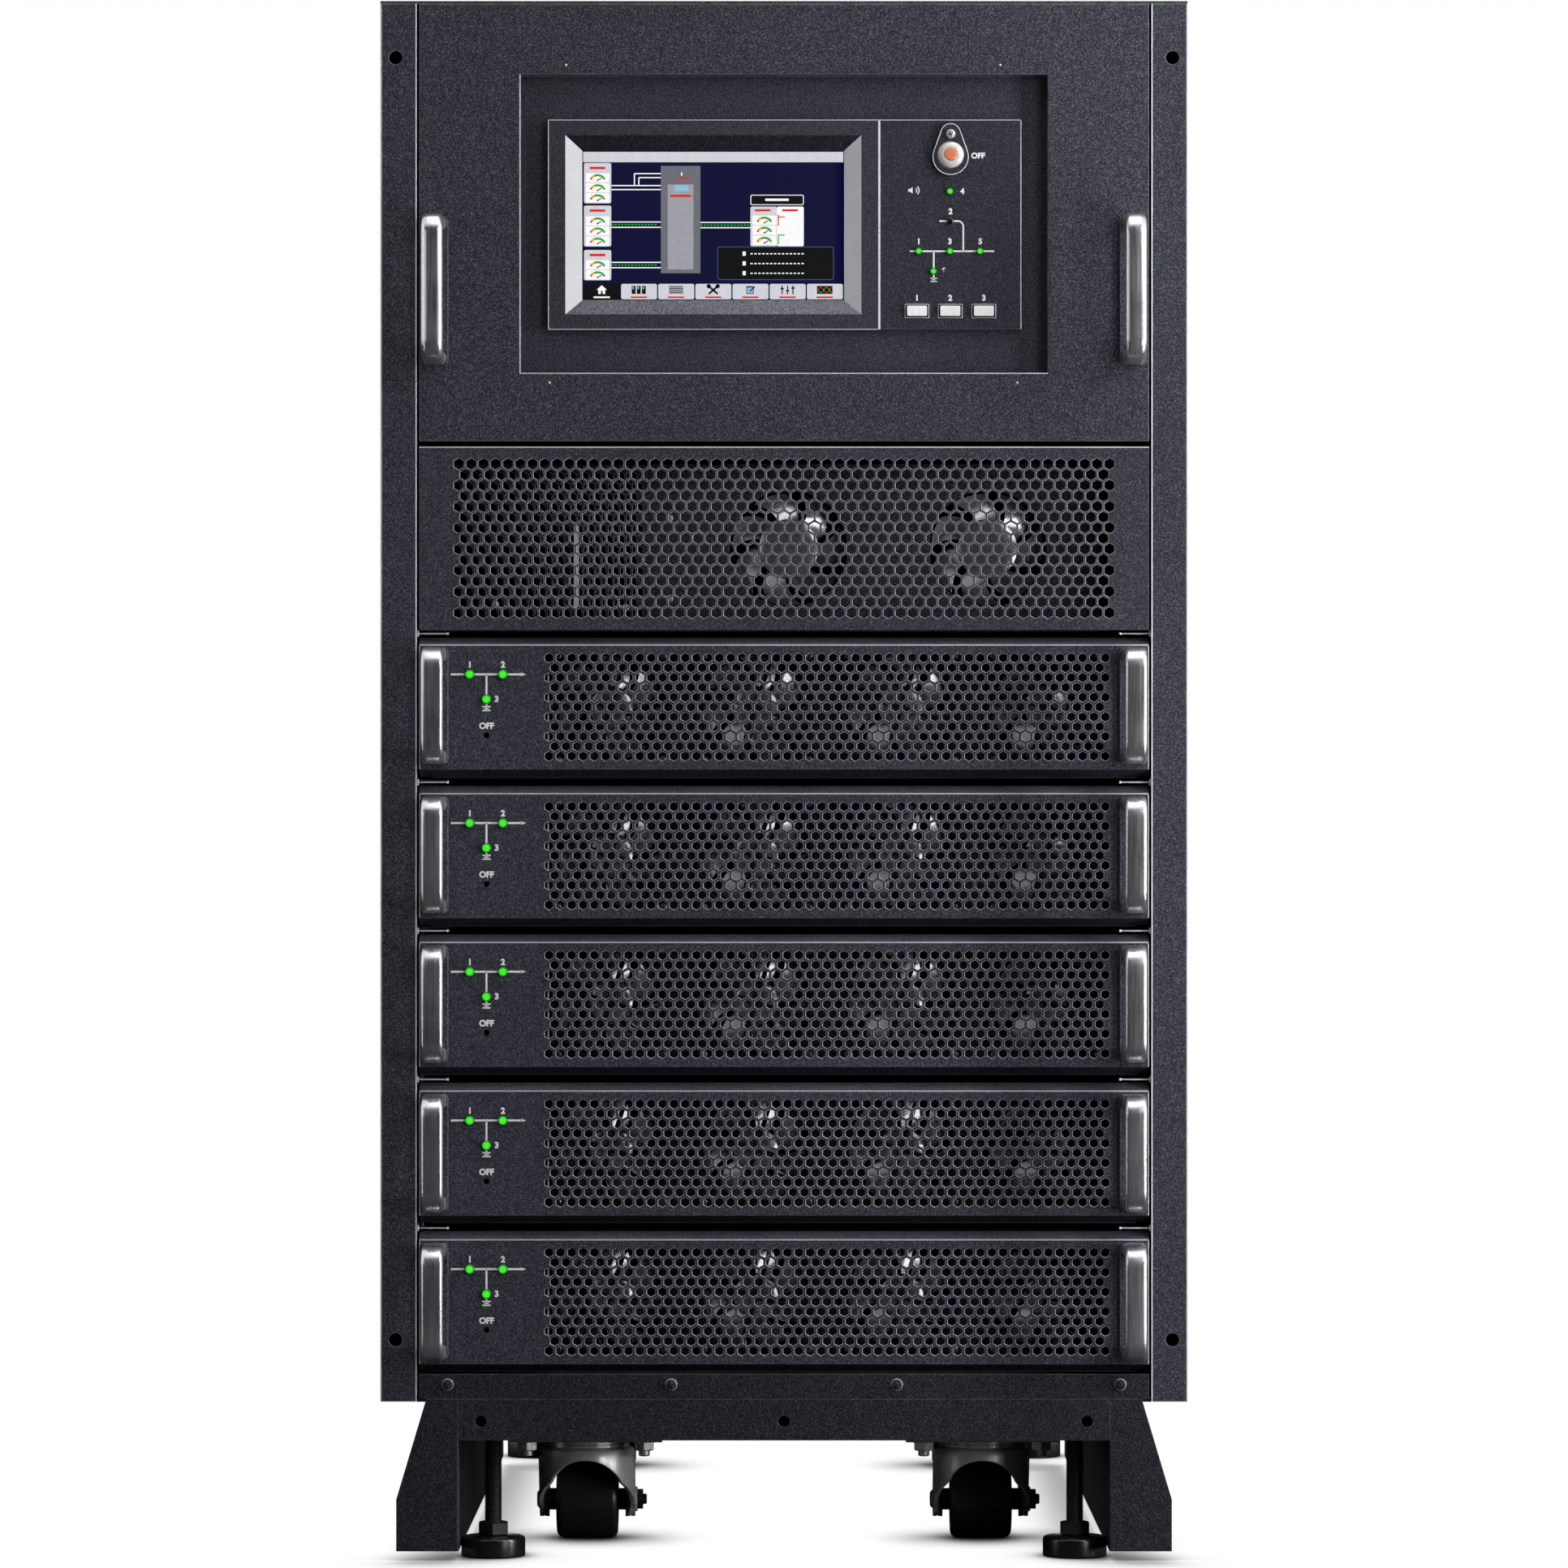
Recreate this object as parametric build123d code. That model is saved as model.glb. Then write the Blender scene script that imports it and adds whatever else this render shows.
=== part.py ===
"""Modular UPS cabinet: a floor-standing sheet-metal chassis with a header, a fan section,
five pull-out power modules, swivel casters and levelling feet.
Millimetres, +Z up, front towards -Y. The origin is on the floor under the middle of the cabinet."""
from build123d import *
import math
import os

# Overall sizes
cabinet_width = 538.0
cabinet_depth = 750.0
header_height = 297.0
handle_reach = 38.0
front_y = -(cabinet_depth - handle_reach) / 2
rear_y = front_y + cabinet_depth
half_width = cabinet_width / 2

# Sheet metal and clearances
sheet = 2.0
thin_sheet = 1.5
panel_seam = 1.6
seat_gap = 0.3
running_gap = 0.1
cut_overrun = 5.0

# Side panels with their front columns
column_width = 24.2
column_inner = half_width - column_width
panel_half_width = column_inner - panel_seam
column_return = 18.0
tab_start = 19.0
tab_end = 31.0
tab_height = 30.0
tab_drop = 60.0
fixing_hole_radius = 4.5
fixing_hole_inset_x = 10.1
fixing_hole_drop = 36.8
fixing_hole_rise = 41.1

# Casters
wheel_radius = 26.0
wheel_width = 42.0
wheel_lift = 0.5
wheel_round = 5.0
wheel_sides = 36
wheel_side_gap = 3.0
wheel_headroom = 12.5
caster_trail = 18.0
fork_width = 65.6
fork_sheet = 3.0
fork_top = wheel_lift + wheel_radius * 2 + wheel_headroom
fork_leg_end = 14.6
fork_leg_width = 24.0
fork_arch_centre = 33.0
fork_crown_bottom = 50.0
fork_mouth_gap = 2.0
ring_radius = 29.0
ring_height = 5.7
caster_plate_thick = 3.0
caster_plate_bottom = fork_top + ring_height + seat_gap
caster_plate_length = 105.0
caster_plate_width = 80.0
channel_height = 6.6
axle_radius = 5.0
axle_head_flats = 13.0
axle_head_height = 5.5
sleeve_radius = 7.5
kingpin_radius = 7.0
kingpin_reach = 11.0

# Base
tray_bottom = caster_plate_bottom + caster_plate_thick + channel_height
skirt_height = 27.6
skirt_top = tray_bottom + skirt_height
skirt_inset = 27.3
skirt_half_width = column_inner - skirt_inset
skirt_hole_radius = 3.8
tray_hole_radius = 6.0
skirt_hole_inset = 15.5
skirt_hole_rise = 12.7
column_overlap = 1.7
column_bottom = skirt_top - column_overlap
rail_height = 16.7
stabiliser_back = 107.0
stabiliser_bottom = 6.7
stabiliser_step_out = 19.5
stabiliser_flare = 20.0
stabiliser_flare_z = 41.3
stabiliser_gap = 0.5
stabiliser_inner = skirt_half_width - stabiliser_gap

# Power modules
module_pitch = 99.1
module_count = 5
lowest_gap = 6.6
lowest_face_bottom = skirt_top + rail_height + lowest_gap
face_margin = 15.8
face_height = module_pitch - face_margin
bevel_height = 4.8
bevel_depth = 9.0
coarse_steps = 5
perforation_pitch = 7.567
perforation_flats = 5.5
perforation_inset_left = 88.1
perforation_inset_right = 30.7
perforation_rise = 8.6
perforation_drop = 8.9
module_lamp_drop = 20.0
battery_lamp_drop = 36.6
latch_hole_rise = 22.7
module_lamp_radius = 3.0
latch_hole_radius = 2.0
lamp_inset = 35.4
lamp_spacing = 22.1
case_side_gap = 9.8
case_clearance = 1.0
case_step = 5.5
case_back_space = 160.0
case_depth = cabinet_depth - case_back_space
case_height = module_pitch - case_step
fan_wall_rim = 9.3
module_fan_bore = case_height / 2 - fan_wall_rim
module_fan_pitch = 98.0
module_fan_count = 4
module_fan_inset = 39.7
module_fan_setback = 34.0
module_fan_depth = 17.0
module_hub_radius = 16.0
module_tip_gap = 6.0
module_blade_count = 5
bore_sides = 12
hub_sides = 8
lamp_sides = 8

# Fan section, above the modules
stack_gap = 6.1
grille_bottom = lowest_face_bottom + module_count * module_pitch - stack_gap
grille_height = 122.1
grille_field_inset = 28.1
grille_field_rise = 11.4
grille_field_drop = 11.6
grille_pitch = 8.18
grille_hole_flats = 6.6
plate_setback = 34.0
plate_inset_left = 153.8
plate_inset_right = 32.8
plate_drop = 9.6
fan_rise = 56.1
fan_z = grille_bottom + fan_rise
fan_inset = 107.8
fan_spacing = 134.0
fan_places = [column_inner - fan_inset - fan_spacing, column_inner - fan_inset]
fan_frame_side = 86.5
fan_bore_radius = 39.8
round_sides = 24
fan_frame_depth = 25.4
header_hub_radius = 19.0
header_hub_sides = 14
header_shaft_radius = 4.0
header_blade_count = 7
blade_pitch_deg = 38.0
blade_sweep_deg = 12.0

# Header, above the fan section
header_bottom = grille_bottom + grille_height
cabinet_height = header_bottom + header_height
header_gap = 3.7
recess_inset = 68.8
recess_half_width = column_inner - recess_inset
recess_rise = 48.8
recess_bottom = header_bottom + recess_rise
recess_drop = 48.9
recess_top = cabinet_height - recess_drop
recess_depth = 9.0
plates_rise = 29.7
plates_bottom = recess_bottom + plates_rise
plates_drop = 30.0
plates_top = recess_top - plates_drop
bezel_inset = 18.8
bezel_left = bezel_inset - recess_half_width
bezel_lip = 11.0
bezel_bevel = 10.0
bezel_proud = 5.0
control_inset = 18.0
control_width = 93.8
control_right = recess_half_width - control_inset
control_left = control_right - control_width
plates_seam = 1.3
bezel_right = control_left - plates_seam

# Controls, placed from the lower left corner of their plate
epo_at = (46.9, 116.3)
epo_radius = 9.0
epo_height = 6.0
epo_core_radius = 3.8
epo_shoulder = (7.4, 4.3)
epo_rim = 2.0
epo_travel = 2.5
guard_radius = 11.8
guard_lobe_radius = 6.8
guard_lobe_rise = 15.3
guard_drop = 1.5
guard_height = 2.4
lamp_radius = 2.15
lamp_height = 1.0
lamp_places = [(46.5, 92.0), (46.9, 72.2), (25.7, 52.1), (46.5, 52.1), (66.5, 52.1), (35.5, 38.6)]
key_width = 13.3
key_height = 6.8
key_proud = 2.2
key_travel = 1.4
key_corner = 2.2
key_stem_radius = 2.0
key_stem_length = 2.1
key_rise = 12.2
key_places = [("inverter_key", 24.5), ("bypass_key", 46.7), ("mute_key", 69.1)]
key_slot_width = 15.7
key_slot_height = 8.8
buzzer_at = (22.0, 102.2)
buzzer_reach = 2.4
buzzer_hole_radius = 0.8
epo_x = control_left + epo_at[0]
epo_z = plates_bottom + epo_at[1]
key_z = plates_bottom + key_rise

# Guide rails
ledge_width = 18.8
ledge_setback = 50.0
ledge_spare = 10.0
ledge_depth = case_depth + ledge_spare
ledge_lip = 12.0

# Handles
handle_width = 14.5
handle_inset = 12.1
handle_centre_x = column_inner - handle_inset
handle_thick = 9.0
handle_bend = 15.0
handle_root_width = 18.0
handle_root_thick = 2.5
header_handle_rise = 5.6
header_handle_height = 98.6
module_handle_rise = 3.4
module_handle_drop = 2.5

# Levelling feet and caster places
foot_inset = 21.6
foot_x = stabiliser_inner - foot_inset
foot_setback_front = 35.0
foot_setback_rear = 38.0
caster_inset = 59.9
caster_x = foot_x - caster_inset
caster_setback = 126.0
foot_radius = 21.5
foot_wall = 11.0
foot_height = 14.0
foot_nut_flats = 19.0
foot_nut_bottom = 14.5
foot_nut_height = 8.7
stud_radius = 6.0

# Rear panel
vent_rows = 2
vent_columns = 2
vent_slot_length = 180.0
vent_slot_height = 8.0
vent_column_pitch = 200.0
vent_row_pitch = 24.0
rear_inset = 12.0
rear_tab_spacing = 430.0

os.makedirs("parts", exist_ok=True)


def save(name, shape):
    """Write one sub-part to its own file."""
    export_step(shape, "parts/" + name + ".step")


def block(x0, x1, y0, y1, z0, z1):
    """A box between two corners."""
    corner = (Align.MIN, Align.MIN, Align.MIN)
    return Pos(x0, y0, z0) * Box(x1 - x0, y1 - y0, z1 - z0, align=corner)


def front_disc(x, z, radius, y0, y1):
    """A cylinder along Y between two depths."""
    turned = Rot(90, 0, 0) * Cylinder(radius, y1 - y0)
    return Pos(x, (y0 + y1) / 2, z) * turned


def front_prism(x, z, radius, sides, y0, y1):
    """A many-sided bar along Y, for round things that repeat many times."""
    bar = extrude(RegularPolygon(radius, sides), amount=y1 - y0)
    return Pos(x, y1, z) * Rot(90, 0, 0) * bar


def post(x, y, radius, z0, z1):
    """A cylinder along Z between two heights."""
    return Pos(x, y, (z0 + z1) / 2) * Cylinder(radius, z1 - z0)


def upright_prism(x, y, radius, sides, z0, z1):
    """A many-sided bar along Z between two heights."""
    return Pos(x, y, z0) * extrude(RegularPolygon(radius, sides), amount=z1 - z0)


def hexagon(flats, height):
    """A hexagonal bar along Z, measured across its flats."""
    return extrude(RegularPolygon(flats / 2, 6, major_radius=False), amount=height / 2, both=True)


def join(pieces):
    """Fuse a list of touching solids into one."""
    whole = pieces[0]
    for piece in pieces[1:]:
        whole = whole + piece
    return whole


def hex_field(left, right, bottom, top, pitch, flats, y0, y1):
    """Pointy-top hexagonal holes in staggered rows that fill a rectangle, as cutters along Y."""
    row_pitch = pitch * math.sqrt(3) / 2
    rows = int((top - bottom - flats) / row_pitch) + 1
    columns = int((right - left - flats) / pitch) + 1
    middle_x = (left + right) / 2
    middle_z = (bottom + top) / 2
    places = []
    for row in range(rows):
        count = columns - row % 2
        z = (row - (rows - 1) / 2) * row_pitch
        for column in range(count):
            x = (column - (count - 1) / 2) * pitch
            places.append((x, z))
    hole = RegularPolygon(flats / 2, 6, major_radius=False, rotation=30)
    sketch = Sketch() + [Pos(x, z) * hole for x, z in places]
    field = extrude(sketch, amount=y1 - y0)
    return Pos(middle_x, y1, middle_z) * Rot(90, 0, 0) * field


def perforated_holes(left, right, bottom, top, pitch, flats, y0, y1):
    """The same field at a multiple of the real pitch, with the same open share."""
    return hex_field(left, right, bottom, top, pitch * coarse_steps, flats * coarse_steps, y0, y1)


def side_tabs(z, back_to_front=1, datum=front_y):
    """A pair of tabs that reach back from a panel's folded edges and meet the chassis walls."""
    inner = panel_half_width
    near, far = sorted((datum + back_to_front * column_return, datum + back_to_front * tab_end))
    arm = block(inner - sheet, inner, near, far, z, z + tab_height)
    near, far = sorted((datum + back_to_front * tab_start, datum + back_to_front * tab_end))
    pad = block(inner, column_inner - seat_gap, near, far, z, z + tab_height)
    tab = arm + pad
    return tab + mirror(tab, about=Plane.YZ)


def side_panel(side):
    """A folded side: outer skin, top and bottom flanges, and the front and rear columns."""
    outer = block(column_inner, half_width, front_y, rear_y, column_bottom, cabinet_height - sheet)
    inner = block(
        column_inner - cut_overrun, half_width - sheet, front_y + sheet, rear_y - sheet,
        column_bottom + sheet, cabinet_height - sheet - sheet,
    )
    body = outer - inner
    lip_x = column_inner + sheet
    body += block(column_inner, lip_x, front_y, front_y + column_return, column_bottom, cabinet_height - sheet)
    hole_x = half_width - fixing_hole_inset_x
    for z in (cabinet_height - fixing_hole_drop - sheet / 2, column_bottom + fixing_hole_rise):
        body -= front_disc(hole_x, z, fixing_hole_radius, front_y - cut_overrun, front_y + sheet + cut_overrun)
    return body if side > 0 else mirror(body, about=Plane.YZ)


def chassis_walls():
    """The two inner walls that carry the module rails."""
    wall = block(
        column_inner, column_inner + sheet, front_y + column_return + seat_gap, rear_y - rear_inset,
        column_bottom + sheet, cabinet_height - sheet - sheet,
    )
    return [wall, mirror(wall, about=Plane.YZ)]


def top_cover():
    """The lid that lies on the sides and closes the top."""
    return block(-half_width, half_width, front_y, rear_y, cabinet_height - sheet, cabinet_height)


def skirt_hole_places():
    """The three fixing holes of the base skirt, as (x, z)."""
    end = skirt_half_width - skirt_hole_inset
    return [(x, tray_bottom + skirt_hole_rise) for x in (-end, 0, end)]


def floor_tray():
    """The bottom tray, open behind the skirt's holes, with two channels that carry the caster plates."""
    tray_front = front_y + sheet
    tray_rear = rear_y - rear_inset
    tray = block(-stabiliser_inner, stabiliser_inner, tray_front, tray_rear, tray_bottom, skirt_top)
    tray += block(-column_inner, column_inner, tray_front, tray_rear, skirt_top - sheet, skirt_top)
    inside = stabiliser_inner - sheet
    tray -= block(-inside, inside, tray_front + sheet, tray_rear - sheet, tray_bottom + sheet,
                  skirt_top + cut_overrun)
    channel_bottom = caster_plate_bottom + caster_plate_thick
    channel_end = stabiliser_inner - sheet
    for y in (front_y + caster_setback, rear_y - caster_setback):
        half = caster_plate_width / 2
        tray += block(-channel_end, channel_end, y - half, y + half, channel_bottom, tray_bottom)
    for x, y in foot_places():
        tray -= upright_prism(x, y, stud_radius + running_gap, bore_sides, tray_bottom - cut_overrun,
                              tray_bottom + sheet + cut_overrun)
    for x, z in skirt_hole_places():
        tray -= front_prism(x, z, tray_hole_radius, lamp_sides, front_y, front_y + sheet + cut_overrun)
    return tray


def rear_panel():
    """The rear cover, with a group of vent slots behind each module."""
    inner = panel_half_width
    top = cabinet_height - sheet - panel_seam
    panel = block(-inner, inner, rear_y - sheet, rear_y, column_bottom, top)
    slot = Rectangle(vent_slot_length, vent_slot_height)
    shapes = []
    for module in range(module_count):
        centre_z = face_bottom(module) + face_height / 2
        for row in range(vent_rows):
            z = centre_z + (row - (vent_rows - 1) / 2) * vent_row_pitch
            for column in range(vent_columns):
                x = (column - (vent_columns - 1) / 2) * vent_column_pitch
                shapes.append(Pos(x, z) * slot)
    cutters = extrude(Sketch() + shapes, amount=sheet + cut_overrun * 2)
    panel -= Pos(0, rear_y + cut_overrun, 0) * Rot(90, 0, 0) * cutters
    for x in (-inner, inner - sheet):
        panel += block(x, x + sheet, rear_y - column_return, rear_y, skirt_top + sheet, top)
    lowest_tab = skirt_top + tab_height
    for z in (lowest_tab, lowest_tab + (top - tab_drop - lowest_tab) / 2, top - tab_drop):
        panel += side_tabs(z, -1, rear_y)
    return panel


def header_panel():
    """The header door with its shallow window for the display and the controls."""
    inner = panel_half_width
    bottom = header_bottom + header_gap
    top = cabinet_height - sheet - seat_gap
    panel = block(-inner, inner, front_y, front_y + sheet, bottom, top)
    for x in (-inner, inner - sheet):
        panel += block(x, x + sheet, front_y, front_y + column_return, bottom, top)
    panel += block(-inner, inner, front_y, front_y + column_return, bottom, bottom + sheet)
    panel += block(-inner, inner, front_y, front_y + column_return, top - sheet, top)
    window = block(
        -recess_half_width, recess_half_width, front_y - cut_overrun, front_y + sheet + cut_overrun,
        recess_bottom, recess_top,
    )
    for z in (bottom + tab_height, top - tab_drop):
        panel += side_tabs(z)
    return panel - window


def recess_pan():
    """The pan behind the header window, whose floor carries the display and the controls."""
    back = front_y + recess_depth
    pan = block(
        -recess_half_width - sheet, recess_half_width + sheet, front_y + sheet, back + sheet,
        recess_bottom - sheet, recess_top + sheet,
    )
    pan -= block(
        -recess_half_width, recess_half_width, front_y - cut_overrun, back, recess_bottom, recess_top,
    )
    return pan


def display_bezel():
    """A raised frame whose inner edges slope down to the screen."""
    floor = front_y + recess_depth
    width = bezel_right - bezel_left
    height = plates_top - plates_bottom
    centre = Pos((bezel_left + bezel_right) / 2, 0, (plates_bottom + plates_top) / 2)
    front = floor - bezel_proud
    body = block(bezel_left, bezel_right, front, floor, plates_bottom, plates_top)
    mouth = Rectangle(width - bezel_lip * 2, height - bezel_bevel * 2)
    glass = Rectangle(width - (bezel_lip + bezel_bevel) * 2, height - bezel_bevel * 4)
    slope = loft([Pos(0, 0, bezel_proud - sheet) * mouth, glass])
    funnel = centre * Pos(0, floor - sheet, 0) * Rot(90, 0, 0) * slope
    through = extrude(glass, amount=bezel_proud * 2, both=True)
    return body - funnel - centre * Pos(0, floor, 0) * Rot(90, 0, 0) * through


def display_screen():
    """The screen, seated in the bezel's opening."""
    floor = front_y + recess_depth
    inset_x = bezel_lip + bezel_bevel + running_gap
    inset_z = bezel_bevel * 2 + running_gap
    return block(
        bezel_left + inset_x, bezel_right - inset_x, floor - thin_sheet, floor,
        plates_bottom + inset_z, plates_top - inset_z,
    )


def control_panel():
    """The control plate with its lamps, key slots and buzzer holes."""
    floor = front_y + recess_depth
    front = floor - bezel_proud
    plate = block(control_left, control_right, front, floor, plates_bottom, plates_top)
    for name, across in key_places:
        x = control_left + across
        plate -= block(
            x - key_slot_width / 2, x + key_slot_width / 2, front - cut_overrun, floor - sheet,
            key_z - key_slot_height / 2, key_z + key_slot_height / 2,
        )
        plate -= front_disc(x, key_z, key_stem_radius + running_gap, front, floor + cut_overrun)
    buzzer_x = control_left + buzzer_at[0]
    buzzer_z = plates_bottom + buzzer_at[1]
    for dx, dz in ((buzzer_reach, 0), (-buzzer_reach, 0), (0, buzzer_reach), (0, -buzzer_reach)):
        plate -= front_prism(buzzer_x + dx, buzzer_z + dz, buzzer_hole_radius, lamp_sides,
                             front - cut_overrun, floor - sheet)
    for across, rise in lamp_places:
        plate += front_prism(control_left + across, plates_bottom + rise, lamp_radius, lamp_sides,
                             front - lamp_height, front)
    bore = epo_radius + seat_gap
    plate -= front_disc(epo_x, epo_z, bore, front - cut_overrun, floor - thin_sheet)
    return plate


def epo_guard():
    """The keyhole-shaped collar around the emergency button."""
    front = front_y + recess_depth - bezel_proud
    lower = Pos(0, -guard_drop) * RegularPolygon(guard_radius, round_sides)
    upper = Pos(0, guard_lobe_rise - guard_drop) * RegularPolygon(guard_lobe_radius, round_sides)
    outline = make_hull((lower + upper).edges())
    outline -= RegularPolygon(epo_radius + seat_gap, round_sides)
    return Pos(epo_x, front, epo_z) * Rot(90, 0, 0) * extrude(outline, amount=guard_height)


def epo_button():
    """The domed emergency button with its flat core."""
    front = front_y + recess_depth - bezel_proud
    stem = bezel_proud - thin_sheet - epo_travel - seat_gap
    steps = [(epo_radius, -stem), (epo_radius, epo_rim), epo_shoulder, (epo_core_radius, epo_height)]
    sections = [Pos(0, 0, height) * RegularPolygon(radius, round_sides) for radius, height in steps]
    return Pos(epo_x, front, epo_z) * Rot(90, 0, 0) * loft(sections, ruled=True)


def control_key(across):
    """One push key with its corners cut, on a round stem."""
    front = front_y + recess_depth - bezel_proud
    depth = bezel_proud - sheet - key_travel - seat_gap + key_proud
    outline = Rectangle(key_width, key_height)
    cap = extrude(chamfer(outline.vertices(), key_corner), amount=depth)
    cap += Pos(0, 0, -key_stem_length / 2) * Cylinder(key_stem_radius, key_stem_length)
    return Pos(control_left + across, front - key_proud + depth, key_z) * Rot(90, 0, 0) * cap


def bar_handle(x, bottom, height, reach):
    """A U-shaped bar with rounded bends that stands on two feet and a thin backing strip."""
    outer = Rectangle(reach, height, align=(Align.MAX, Align.MIN))
    outer = fillet(outer.vertices().group_by(Axis.X)[0], handle_bend)
    inner = Pos(0, handle_thick) * Rectangle(
        reach - handle_thick, height - handle_thick * 2, align=(Align.MAX, Align.MIN))
    inner = fillet(inner.vertices().group_by(Axis.X)[0], handle_bend - handle_thick)
    bar = Plane.YZ * extrude(outer - inner, amount=handle_width / 2, both=True)
    root = block(-handle_root_width / 2, handle_root_width / 2, -handle_root_thick, 0, 0, height)
    return Pos(x, front_y, bottom) * (bar + root)


def handle_pair(bottom, height):
    """The left and right handle of a panel."""
    return [bar_handle(side * handle_centre_x, bottom, height, handle_reach) for side in (-1, 1)]


def fan_section_grille():
    """The perforated cover of the fan section, with folded edges all round."""
    inner = panel_half_width
    top = header_bottom
    cover = block(-inner, inner, front_y, front_y + thin_sheet, grille_bottom, top)
    for z in (grille_bottom, top - thin_sheet):
        cover += block(-inner, inner, front_y, front_y + column_return, z, z + thin_sheet)
    for x in (-inner, inner - sheet):
        cover += block(x, x + sheet, front_y, front_y + column_return, grille_bottom, top)
    cover += side_tabs(fan_z)
    field = column_inner - grille_field_inset
    return cover - perforated_holes(
        -field, field, grille_bottom + grille_field_rise, top - grille_field_drop,
        grille_pitch, grille_hole_flats, front_y - cut_overrun, front_y + thin_sheet + cut_overrun)


def fan_section_plate():
    """The inner plate that carries the two header fans, and the shelf that it stands on."""
    y = front_y + plate_setback
    shelf_top = grille_bottom + thin_sheet + seat_gap
    plate = block(-column_inner + plate_inset_left, column_inner - plate_inset_right, y, y + thin_sheet,
                  shelf_top, header_bottom - plate_drop)
    for x in fan_places:
        plate -= front_prism(x, fan_z, fan_bore_radius, round_sides, y - cut_overrun,
                             y + thin_sheet + cut_overrun)
    shelf_end = rear_y - tab_end - cut_overrun
    shelf = block(-column_inner + seat_gap, column_inner - seat_gap, y, shelf_end, shelf_top - thin_sheet, shelf_top)
    return [plate, shelf]


def fan_frames():
    """The square housings of the header fans, each with its hub mount and struts."""
    frames = []
    front = front_y + plate_setback + thin_sheet
    back = front + fan_frame_depth
    half = fan_frame_side / 2
    reach = fan_bore_radius + sheet
    for x in fan_places:
        frame = block(x - half, x + half, front, back, fan_z - half, fan_z + half)
        frame -= front_prism(x, fan_z, fan_bore_radius, round_sides, front - cut_overrun, back + cut_overrun)
        frame += front_prism(x, fan_z, header_hub_radius, header_hub_sides, back - sheet, back)
        frame += block(x - reach, x + reach, back - sheet, back, fan_z - sheet, fan_z + sheet)
        frame += block(x - sheet, x + sheet, back - sheet, back, fan_z - reach, fan_z + reach)
        frames.append(frame)
    return frames


def fan_blade(root_radius, tip_radius, depth):
    """A plain blade that leans forward and stays inside the depth of its fan."""
    lean = (tip_radius - root_radius) * math.tan(math.radians(blade_sweep_deg))
    chord = (depth - thin_sheet * 2) / math.cos(math.radians(blade_pitch_deg)) - lean
    outline = Polyline(
        (root_radius, -chord / 2), (tip_radius, lean - chord / 2), (tip_radius, lean + chord / 2),
        (root_radius, chord / 2), close=True)
    blade = extrude(make_face(outline), amount=thin_sheet / 2, both=True)
    return Rot(blade_pitch_deg, 0, 0) * Pos(0, -lean / 2, 0) * blade


def rotor(hub, hub_radius, tip_radius, depth, count):
    """A hub with blades spaced evenly about the Y axis."""
    blade = fan_blade(hub_radius - sheet, tip_radius, depth)
    return join([hub] + [Rot(0, index * 360 / count, 0) * blade for index in range(count)])


def header_rotor(x):
    """One header fan's rotor with its shaft, running clear of its housing."""
    depth = fan_frame_depth - sheet - sheet - seat_gap
    y = front_y + plate_setback + thin_sheet + depth / 2 + sheet
    hub = front_prism(0, 0, header_hub_radius, header_hub_sides, -depth / 2, depth / 2)
    hub += front_disc(0, 0, header_shaft_radius, depth / 2 - sheet, depth / 2 + running_gap)
    return Pos(x, y, fan_z) * rotor(hub, header_hub_radius, fan_bore_radius - sheet, depth, header_blade_count)


def face_bottom(index):
    """The height of a module's face, counted from the lowest one."""
    return lowest_face_bottom + index * module_pitch


def module_front(index):
    """A bevelled, perforated front with its lamps and latch hole."""
    z0 = face_bottom(index)
    z1 = z0 + face_height
    back = front_y + thin_sheet + cut_overrun
    profile = Polyline(
        (0, z0), (0, z1), (bevel_depth, z1 + bevel_height), (bevel_depth, z0 - bevel_height), close=True)
    outer = extrude(make_face(profile), amount=panel_half_width, both=True)
    pocket = Polyline(
        (thin_sheet, z0 + thin_sheet), (thin_sheet, z1 - thin_sheet),
        (bevel_depth + cut_overrun, z1 - thin_sheet), (bevel_depth + cut_overrun, z0 + thin_sheet), close=True)
    hollow = extrude(make_face(pocket), amount=panel_half_width - sheet, both=True)
    front = Pos(0, front_y, 0) * (Plane.YZ * (outer - hollow))
    front -= perforated_holes(
        perforation_inset_left - column_inner, column_inner - perforation_inset_right, z0 + perforation_rise,
        z1 - perforation_drop, perforation_pitch, perforation_flats, front_y - cut_overrun, back)
    first = lamp_inset - column_inner
    middle = first + lamp_spacing / 2
    for x, drop in ((first, module_lamp_drop), (first + lamp_spacing, module_lamp_drop), (middle, battery_lamp_drop)):
        front += front_prism(x, z1 - drop, module_lamp_radius, lamp_sides, front_y - lamp_height, front_y)
    return front - front_prism(middle, z0 + latch_hole_rise, latch_hole_radius, lamp_sides,
                               front_y - cut_overrun, back)


def ledge_top(index):
    """The height of the ledges that carry a module."""
    return face_bottom(index) - bevel_height - case_clearance


def module_fan_centres(index):
    """The places of a module's fans, as (x, z)."""
    first = perforation_inset_left + module_fan_inset - column_inner
    z = face_bottom(index) + face_height / 2
    return [(first + column * module_fan_pitch, z) for column in range(module_fan_count)]


def module_case(index):
    """A module's steel case with the wall that holds its four fans."""
    z0 = ledge_top(index)
    z1 = z0 + case_height
    front = front_y + bevel_depth
    half = column_inner - case_side_gap
    case = block(-half, half, front, front + case_depth, z0, z1)
    wall_front = front + module_fan_setback
    case -= block(-half + thin_sheet, half - thin_sheet, front - cut_overrun, wall_front,
                  z0 + thin_sheet, z1 - thin_sheet)
    for x, z in module_fan_centres(index):
        case -= front_prism(x, z, module_fan_bore, bore_sides, wall_front - cut_overrun,
                            wall_front + module_fan_setback)
    return case


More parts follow.
